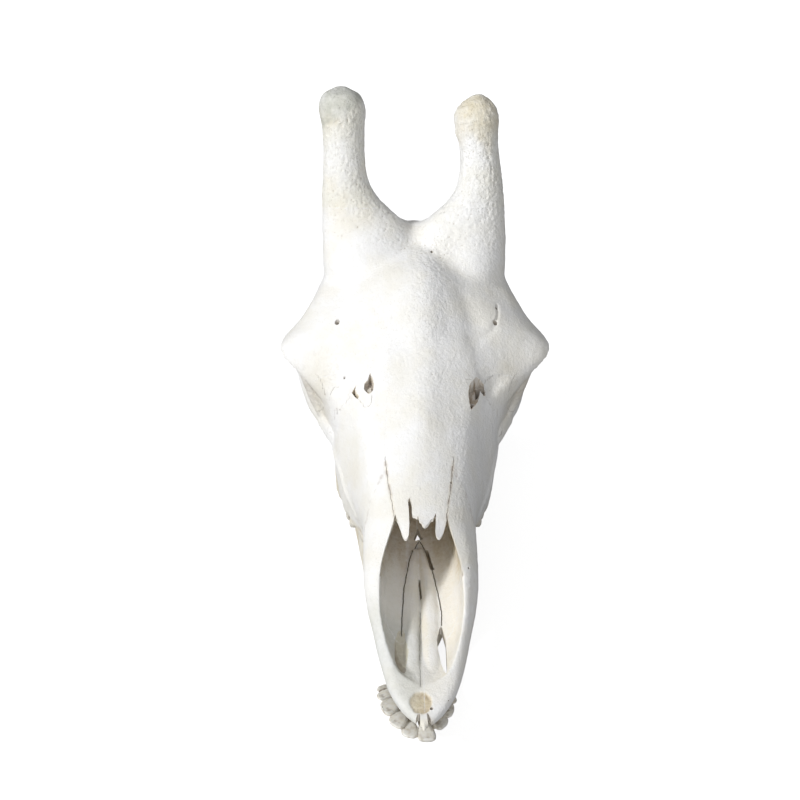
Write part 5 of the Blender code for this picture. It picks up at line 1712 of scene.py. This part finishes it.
def floor_paint():
    """Matt grey that looks nearly white to the eye, so that only soft shadows show on it."""
    paint = bpy.data.materials.new("floor")
    paint.use_nodes = True
    tree = paint.node_tree
    shader = tree.nodes["Principled BSDF"]
    shader.inputs["Base Color"].default_value = FLOOR_GREY
    shader.inputs["Roughness"].default_value = 0.9
    shader.inputs["Specular IOR Level"].default_value = 0
    shader.inputs["Emission Color"].default_value = (1, 1, 1, 1)
    seen = node(tree, "LightPath").outputs["Is Camera Ray"]
    tree.links.new(product(tree, seen, FLOOR_GLOW), shader.inputs["Emission Strength"])
    return paint


def studio():
    """A pale floor and soft light from above and from the left of the picture."""
    scene = bpy.context.scene
    scene.view_settings.view_transform = "Standard"
    bm = bmesh.new()
    bmesh.ops.create_grid(bm, x_segments=1, y_segments=1, size=FLOOR_HALF)
    floor = mesh_object("floor", bm)
    floor.data.materials.append(floor_paint())
    world = bpy.data.worlds.new("studio")
    world.use_nodes = True
    tree = world.node_tree
    sky = tree.nodes["Background"]
    sky.inputs["Color"].default_value = SKY_COLOUR
    seen = node(tree, "LightPath").outputs["Is Camera Ray"]
    tree.links.new(between(tree, seen, 0.0, 1.0, SKY_LIGHT, 1.0), sky.inputs["Strength"])
    scene.world = world
    for name, (azimuth, elevation, strength, softness) in LAMPS.items():
        lamp = bpy.data.lights.new(name, "SUN")
        lamp.energy = strength
        lamp.angle = math.radians(softness)
        made = bpy.data.objects.new(name, lamp)
        scene.collection.objects.link(made)
        made.rotation_euler = way_to(azimuth, elevation).to_track_quat("Z", "Y").to_euler()


# Where the photograph was taken from, in degrees and metres
CAMERA_AZIMUTH = -2.2
CAMERA_ELEVATION = 34.46
CAMERA_ROLL = 1.1
CAMERA_DISTANCE = 3.0
CAMERA_TARGET = (0, 300, 140)  # the place (x, s, h) on the skull that it looks at
CAMERA_SHIFT = (-0.0175, 0.019)  # to the right and up from there
CAMERA_SENSOR = 36  # millimetres, as the lens
CAMERA_LENS = 139.095


def camera():
    """The camera that took the photograph."""
    back = way_to(CAMERA_AZIMUTH, CAMERA_ELEVATION)
    right = Vector((0, 0, 1)).cross(back).normalized()
    up = back.cross(right)
    target = bone_point(CAMERA_TARGET) + bone_point(REST_SHIFT)
    target += right * CAMERA_SHIFT[0] + up * CAMERA_SHIFT[1]
    lens = bpy.data.cameras.new("camera")
    lens.sensor_width = CAMERA_SENSOR
    lens.lens = CAMERA_LENS
    eye = bpy.data.objects.new("camera", lens)
    bpy.context.scene.collection.objects.link(eye)
    eye.location = target + back * CAMERA_DISTANCE
    eye.rotation_mode = "QUATERNION"
    roll = Quaternion((0, 0, 1), math.radians(CAMERA_ROLL))
    eye.rotation_quaternion = back.to_track_quat("Z", "Y") @ roll
    bpy.context.scene.camera = eye


build()
studio()
camera()
bpy.context.view_layer.update()
